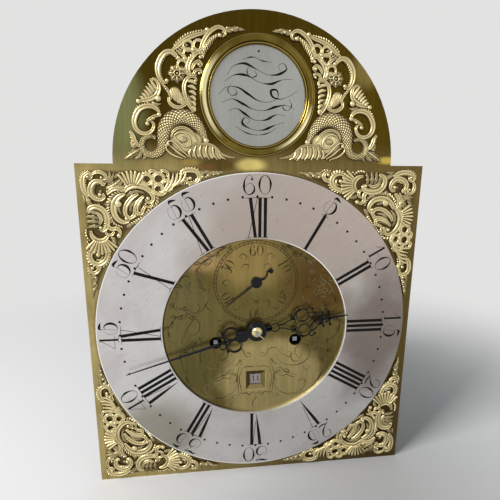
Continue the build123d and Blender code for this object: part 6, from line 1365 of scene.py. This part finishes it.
def arch_flourish(m, w, low):
    """A plain pen flourish across the arch disc: long swelling sweeps that coil at their ends."""
    def e(*points, swell=3.6):
        """A pen stroke with two swellings."""
        engraved(m, [(x, BOSS_Z + z) for x, z in points], [0.4 * w, 0.6 * w, swell * w, 0.7 * w, 0.5 * w,
                                                           swell * w, 0.6 * w, 0.4 * w], low, 56)

    # Upper row
    e((-26, 16), (-21.6, 22.4), (-12, 25.4), (-2, 21.4), (8, 17.4), (18, 18.4), (23.6, 22.6), (20.6, 26.4),
      (16.4, 24.2), (18.4, 20.6))
    e((-28.4, 11), (-19, 16.6), (-9.4, 16.2), (0.6, 11.4), (11, 10.4), (19.4, 13.6), (28.6, 14.4))
    e((-13.4, 28.4), (-4.6, 30.4), (4, 27.6), (11, 27), swell=1.8)
    e((-7.4, 24.2), (-9.6, 19.4), (-6, 14.8), (-1.6, 16.8), (-3.6, 20.4), swell=1.6)
    # Middle row
    e((-33.4, 0.4), (-27, 6.6), (-17.6, 7), (-9, 2.2), (0, -3), (9.6, -3.8), (16.8, 0.4), (15.6, 5.6),
      (10.6, 5.2), (11.6, 0.8), (18, -1.4), (26, 1), (33.4, 5.6))
    e((-31, -5.6), (-22, -2.2), (-13, -5.8), (-4, -10), (6, -10.6), (15, -7.6), (24.6, -6.4), (31.4, -9.4))
    e((-22.6, 9.6), (-25.4, 4.6), (-22, 0.4), (-17.8, 2.4), (-20, 6.2), swell=1.6)
    # Lower row
    e((-25.4, -11.4), (-18.4, -9.6), (-11.4, -13.6), (-3.4, -18.4), (6.6, -18.2), (15.4, -14), (24, -14.6))
    e((22.6, -19.8), (13.6, -22.8), (3.6, -26.6), (-7, -25.4), (-13.6, -20.4), (-11.4, -16.6), (-7.4, -18.6),
      (-9.6, -22.2))
    e((-18.6, -24), (-10.4, -28.8), (0, -30.6), (10.6, -28), (15.6, -24.6), swell=1.8)
    e((26.4, -1.4), (28.6, -6.2), (25, -10.4), (21, -8.2), (23.2, -4.6), swell=1.6)


# Operators: one for each piece or group of like pieces

def colours_of(context):
    """The scene's colours."""
    return context.scene.clock_colours


def sizes_of(context):
    """The scene's sizes."""
    return context.scene.clock_sizes


class CLOCK_OT_finishes(bpy.types.Operator):
    """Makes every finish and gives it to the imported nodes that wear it"""

    bl_idname = "clock.finishes"
    bl_label = "Finishes"

    def execute(self, context):
        colours = colours_of(context)
        make_effects()
        dial_brass(colours)
        silvered("Silvered ring", colours.silver, colours.lilac, 0.0, CENTRE_Z, -0.9, 0.5, 0.85)
        silvered("Silvered disc", (0.4, 0.4, 0.375), (0.3, 0.295, 0.27), 0.0, CENTRE_Z + BOSS_Z * MM, 0.0,
                 0.6, 0.0)
        silvered("Silvered date disc", (0.42, 0.36, 0.345), colours.lilac, 0.0, CENTRE_Z + DATE_Z * MM, 0.4,
                 0.4, 0.0)
        gilt("Gilt casting", colours)
        moulding_brass()
        gilt("Collet brass", colours, 0.007, 0.009)
        workshop_brass("Plate brass", colours, (0.46, 0.36, 0.15),
                       shaded_round=("going_barrel_arbor", "strike_barrel_arbor"))
        workshop_brass("Wheel brass", colours, (0.52, 0.4, 0.16), 700.0)
        steel("Blued steel", colours.blue, (0.035, 0.03, 0.03), 0.27, 0.5)
        steel("Bright steel", colours.steel, (0.3, 0.27, 0.24), 0.28, 0.5)
        # Painted shade: the winding arbors are near black as if deep in the winding holes' shade, with a
        # painted highlight on their squares' ends.
        squares = FACE_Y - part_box("going_barrel_arbor")[0].y
        steel("Dark steel", (0.012, 0.011, 0.01), (0.008, 0.007, 0.006), 0.45, 0.5, squares)
        bell_metal(colours)
        filled("Black wax", colours.wax, 0.4)
        filled("Cut line", colours.cut, 0.45)
        filled("Scroll line", colours.cut, 0.45, (0.24, 0.2, 0.095))
        for name, wearers in WORN_BY.items():
            for wearer in wearers:
                NODES[wearer].data.materials.clear()
                NODES[wearer].data.materials.append(bpy.data.materials[name])
        return {"FINISHED"}


class CLOCK_OT_hour_numerals(bpy.types.Operator):
    """Fills the twelve Roman numerals of the chapter ring with wax"""

    bl_idname = "clock.hour_numerals"
    bl_label = "Hour numerals"

    def execute(self, context):
        mould = Mould()
        for hour, text in enumerate(HOURS):
            roman(mould, text, 30 * hour)
        mould.cast("hour_numerals", "Black wax", "frame", smooth=False)
        return {"FINISHED"}


class CLOCK_OT_minute_marks(bpy.types.Operator):
    """Fills the minute dots and the numerals for every fifth minute"""

    bl_idname = "clock.minute_marks"
    bl_label = "Minute marks"

    def execute(self, context):
        sizes = sizes_of(context)
        mould = Mould()
        dot = sizes.dot / MM
        profile = [(0, RING_FACE), (dot, RING_FACE), (0.95 * dot, RING_FACE + WAX), (0, RING_FACE + WAX)]
        for minute in range(60):
            a = np.radians(6 * minute)
            turned(mould, DOT_ORBIT * np.sin(a), DOT_ORBIT * np.cos(a), profile, count=12)
        height = sizes.minutes / MM
        for minute in range(5, 65, 5):
            a = np.radians(6 * minute)
            written(mould, str(minute), MINUTE_ORBIT * np.sin(a), MINUTE_ORBIT * np.cos(a), height, 6 * minute,
                    RING_FACE)
        mould.cast("minute_marks", "Black wax", "frame", smooth=False)
        return {"FINISHED"}


class CLOCK_OT_seconds_ring(bpy.types.Operator):
    """Engraves the seconds ring with its divisions and numerals"""

    bl_idname = "clock.seconds_ring"
    bl_label = "Seconds ring"

    def execute(self, context):
        line = sizes_of(context).line / MM
        mould = Mould()
        for radius in (SECONDS_OUTER, SECONDS_INNER):
            sweep(mould, arc(0, SECONDS_Z, radius, 0, 360, 121), line, 0.0, WAX, FLAT)
        for second in range(60):
            a = np.radians(6 * second)
            ends = [(r * np.sin(a), SECONDS_Z + r * np.cos(a))
                    for r in (SECONDS_INNER + 0.1, SECONDS_OUTER - 0.1)]
            sweep(mould, ends, line, 0.0, WAX, FLAT)
        for second in range(10, 70, 10):
            a = np.radians(6 * second)
            written(mould, str(second), SECONDS_ORBIT * np.sin(a), SECONDS_Z + SECONDS_ORBIT * np.cos(a), 11.0,
                    6 * second, 0.0, 0.78, 1.2)
        mould.cast("seconds_engraving", "Cut line", "frame", smooth=False)
        return {"FINISHED"}


class CLOCK_OT_centre_engraving(bpy.types.Operator):
    """Engraves the scrollwork in the middle of the dial, one half and its mirror, and the sprig below"""

    bl_idname = "clock.centre_engraving"
    bl_label = "Centre engraving"

    def execute(self, context):
        line = sizes_of(context).line / MM
        mould = Mould()
        centre_lines(mould, line)
        mould.turn = np.array(MIRROR, float)
        centre_lines(mould, line)
        mould.turn = np.eye(2)
        engraved(mould, [(0.4, -69.4), (0.6, -73), (-2.6, -77), (-2.4, -82), (-1.4, -84.6)],
                 [0.2, 0.5, 0.8, 0.6, 0.2])
        engraved(mould, [(0.6, -73.4), (-1.4, -71.4)], [0.2, 0.6, 0.2])
        mould.cast("centre_engraving", "Scroll line", "frame", smooth=False)
        return {"FINISHED"}


class CLOCK_OT_arch_disc(bpy.types.Operator):
    """Draws the flourish and the pin's dot on the disc in the arch"""

    bl_idname = "clock.arch_disc"
    bl_label = "Arch disc"

    def execute(self, context):
        mould = Mould()
        arch_flourish(mould, 0.6, BOSS_FACE)
        turned(mould, 0, BOSS_Z + 35,
               [(0, BOSS_FACE), (0.9, BOSS_FACE), (0.8, BOSS_FACE + WAX), (0, BOSS_FACE + WAX)])
        mould.cast("arch_flourish", "Black wax", "frame", smooth=False)
        return {"FINISHED"}


class CLOCK_OT_corner_castings(bpy.types.Operator):
    """Casts the four corner spandrels, one pattern turned by quarters"""

    bl_idname = "clock.corner_castings"
    bl_label = "Corner castings"

    def execute(self, context):
        relief = sizes_of(context).relief / MM
        for name, angle in (("top_left", 0), ("top_right", 90), ("bottom_right", 180), ("bottom_left", 270)):
            mould = Mould(clockwise(angle))
            corner_casting(mould, relief)
            piece = mould.cast("cast_spandrel_" + name, "Gilt casting", "frame")
            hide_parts("corner_spandrel_" + name)
        return {"FINISHED"}


class CLOCK_OT_arch_dolphins(bpy.types.Operator):
    """Casts the two dolphins of the arch, one the mirror of the other"""

    bl_idname = "clock.arch_dolphins"
    bl_label = "Arch dolphins"

    def execute(self, context):
        relief = sizes_of(context).relief / MM
        for name, turn in (("left", ((1, 0), (0, 1))), ("right", MIRROR)):
            mould = Mould(turn)
            dolphin_casting(mould, relief)
            piece = mould.cast("cast_dolphin_" + name, "Gilt casting", "frame")
            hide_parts("arch_dolphin_" + name)
        return {"FINISHED"}


class CLOCK_OT_hands(bpy.types.Operator):
    """Makes the three pierced hands with bevelled edges in place of the plain ones"""

    bl_idname = "clock.hands"
    bl_label = "Hands"

    def execute(self, context):
        strap = sizes_of(context).blades / MM
        for node, body, angle, draw in (("minute_hand", "centre", MINUTE_TURN, minute_hand),
                                        ("hour_hand", "hour", HOUR_TURN, hour_hand)):
            low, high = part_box(node)
            base, thickness = (FACE_Y - high.y) / MM, (high.y - low.y) / MM
            mould = Mould(clockwise(angle))
            draw(mould, strap, base, thickness)
            piece = mould.cast("pierced_" + node, "Blued steel", body, smooth=False)
            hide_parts(node)
        low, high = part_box("seconds_hand")
        mould = Mould(clockwise(SECONDS_TURN))
        seconds_hand(mould, (FACE_Y - high.y) / MM, (high.y - low.y) / MM)
        mould.points = [points + [0, 0, SECONDS_Z * MM] for points in mould.points]
        piece = mould.cast("pierced_seconds_hand", "Blued steel", "escape", smooth=False)
        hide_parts("seconds_hand")
        return {"FINISHED"}


class CLOCK_OT_date_numbers(bpy.types.Operator):
    """Writes the thirty-one dates round the date disc; the fourteenth stands in the opening"""

    bl_idname = "clock.date_numbers"
    bl_label = "Date numbers"

    def execute(self, context):
        mould = Mould()
        for day in range(1, 32):
            angle = 360 * (day - 14) / 31
            a = np.radians(angle)
            written(mould, str(day), DATE_ORBIT * np.sin(a), DATE_Z + DATE_ORBIT * np.cos(a), 6.4, angle,
                    DATE_FACE, 0.76, 1.1, 9)
        mould.cast("date_numbers", "Black wax", "date_disc", smooth=False)
        return {"FINISHED"}


# The stage: lamps by name, place, size in metres and power in watts; the camera by its fit to the dial; and the
# middle of the painted shadow on the floor under the clock

LAMPS = (
    ("window", (-1.15, -0.62, 0.95), 0.6, 30.0), ("room", (1.1, -1.3, 0.5), 1.2, 3.0),
    ("behind", (0.4, 1.2, 1.0), 1.2, 3.0))
CAMERA_PLACE, CAMERA_TURN = (-0.04284, -0.36207, 0.20504), (78.472, -0.274, -6.434)
LENS, SENSOR = 26.24, 36.0
SHADE = (0.08, -0.1)


class CLOCK_OT_stage(bpy.types.Operator):
    """Sets up the pale floor, soft lamps, background and the camera"""

    bl_idname = "clock.stage"
    bl_label = "Stage"

    def execute(self, context):
        scene = context.scene
        colours = colours_of(context)
        floor_z = CAD_BOX[0][2]
        edge = np.array([(-6, -6), (6, -6), (6, 6), (-6, 6)], float)
        mesh = bpy.data.meshes.new("studio_floor")
        mesh.from_pydata(np.column_stack([edge, np.full(4, floor_z)]).tolist(), [], [(0, 1, 2, 3)])
        floor = bpy.data.objects.new("studio_floor", mesh)
        scene.collection.objects.link(floor)
        sheet, shader, place = finish("Studio floor", 0.0, 0.9)
        shader["Specular IOR Level"].default_value = 0.1
        cloud = sheet.use("Tarnish", Vector=place, Scale=2.0, Level=0.5, Softness=0.4)
        tint = sheet.over(tuple(colours.floor), cloud, 0.06, (0.72, 0.72, 0.72))
        near = sheet.add("ShaderNodeVectorMath", {0: place, 1: (*SHADE, floor_z)},
                         operation="DISTANCE").outputs["Value"]
        # Painted shadow: the floor darkens towards that middle, out to 0.28 m.
        tint = sheet.over(tint, sheet.step(near, 0.28, 0.02), 0.9, (0.4, 0.4, 0.4))
        sheet.tree.links.new(tint, shader["Base Color"])
        away = sheet.reach(place, (1.0, 1.0, 0.0))
        sheet.tree.links.new(sheet.math("SUBTRACT", 1.0, sheet.step(away, 0.24, 0.75)), shader["Alpha"])
        mesh.materials.append(bpy.data.materials["Studio floor"])

        world = bpy.data.worlds.new("Studio")
        scene.world = world
        world.use_nodes = True
        sky = Sheet(world.node_tree)
        for node in list(world.node_tree.nodes):
            world.node_tree.nodes.remove(node)
        rays_seen = sky.add("ShaderNodeLightPath").outputs
        seen = sky.math("MAXIMUM", rays_seen["Is Camera Ray"], rays_seen["Is Glossy Ray"])
        seen = sky.math("MAXIMUM", seen, rays_seen["Is Transmission Ray"])
        glow = sky.add("ShaderNodeBackground", {"Color": (0.9, 0.95, 1.0, 1.0), "Strength": 0.2}).outputs[0]
        pale = sky.add("ShaderNodeBackground", {"Color": (*colours.floor, 1.0), "Strength": 1.0}).outputs[0]
        both = sky.add("ShaderNodeMixShader", {0: seen, 1: glow, 2: pale}).outputs[0]
        sky.add("ShaderNodeOutputWorld", {"Surface": both})

        middle = Vector((0.0, FACE_Y, 0.1))
        for name, place, size, energy in LAMPS:
            lamp = bpy.data.lights.new(name, "AREA")
            lamp.size, lamp.energy = size, energy
            stand = bpy.data.objects.new(name, lamp)
            stand.location = place
            stand.rotation_euler = (middle - Vector(place)).to_track_quat("-Z", "Y").to_euler()
            scene.collection.objects.link(stand)

        camera = bpy.data.cameras.new("camera")
        camera.lens, camera.sensor_width = LENS, SENSOR
        camera.clip_start, camera.clip_end = 0.01, 50.0
        stand = bpy.data.objects.new("camera", camera)
        stand.location = CAMERA_PLACE
        stand.rotation_euler = Euler([np.radians(a) for a in CAMERA_TURN], "XYZ")
        scene.collection.objects.link(stand)
        scene.camera = stand
        scene.view_settings.view_transform = "Standard"
        return {"FINISHED"}


class CLOCK_PT_panel(bpy.types.Panel):
    """The steps that dress the clock, with the sizes and colours that they use"""

    bl_idname = "CLOCK_PT_panel"
    bl_label = "Longcase clock head"
    bl_space_type = "VIEW_3D"
    bl_region_type = "UI"
    bl_category = "Clock"

    def draw(self, context):
        column = self.layout.column(align=True)
        for step in STEPS:
            column.operator(step.bl_idname, text=step.bl_label)
        for group in (context.scene.clock_sizes, context.scene.clock_colours):
            for name in group.__annotations__:
                column.prop(group, name)


STEPS = (
    CLOCK_OT_finishes, CLOCK_OT_hour_numerals, CLOCK_OT_minute_marks, CLOCK_OT_seconds_ring,
    CLOCK_OT_centre_engraving, CLOCK_OT_arch_disc, CLOCK_OT_boss_moulding, CLOCK_OT_corner_castings,
    CLOCK_OT_arch_dolphins, CLOCK_OT_hands, CLOCK_OT_date_numbers, CLOCK_OT_stage,
)
CLASSES = (ClockColours, ClockSizes, *STEPS, CLOCK_PT_panel)


def register():
    """Adds the classes and the two groups of settings."""
    for kind in CLASSES:
        bpy.utils.register_class(kind)
    bpy.types.Scene.clock_colours = bpy.props.PointerProperty(type=ClockColours)
    bpy.types.Scene.clock_sizes = bpy.props.PointerProperty(type=ClockSizes)


def unregister():
    """Takes the classes and settings away again."""
    del bpy.types.Scene.clock_sizes
    del bpy.types.Scene.clock_colours
    for kind in reversed(CLASSES):
        bpy.utils.unregister_class(kind)


def main():
    """Registers the add-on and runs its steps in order."""
    register()
    for step in STEPS:
        family, name = step.bl_idname.split(".")
        getattr(getattr(bpy.ops, family), name)()


if __name__ == "__main__":
    main()
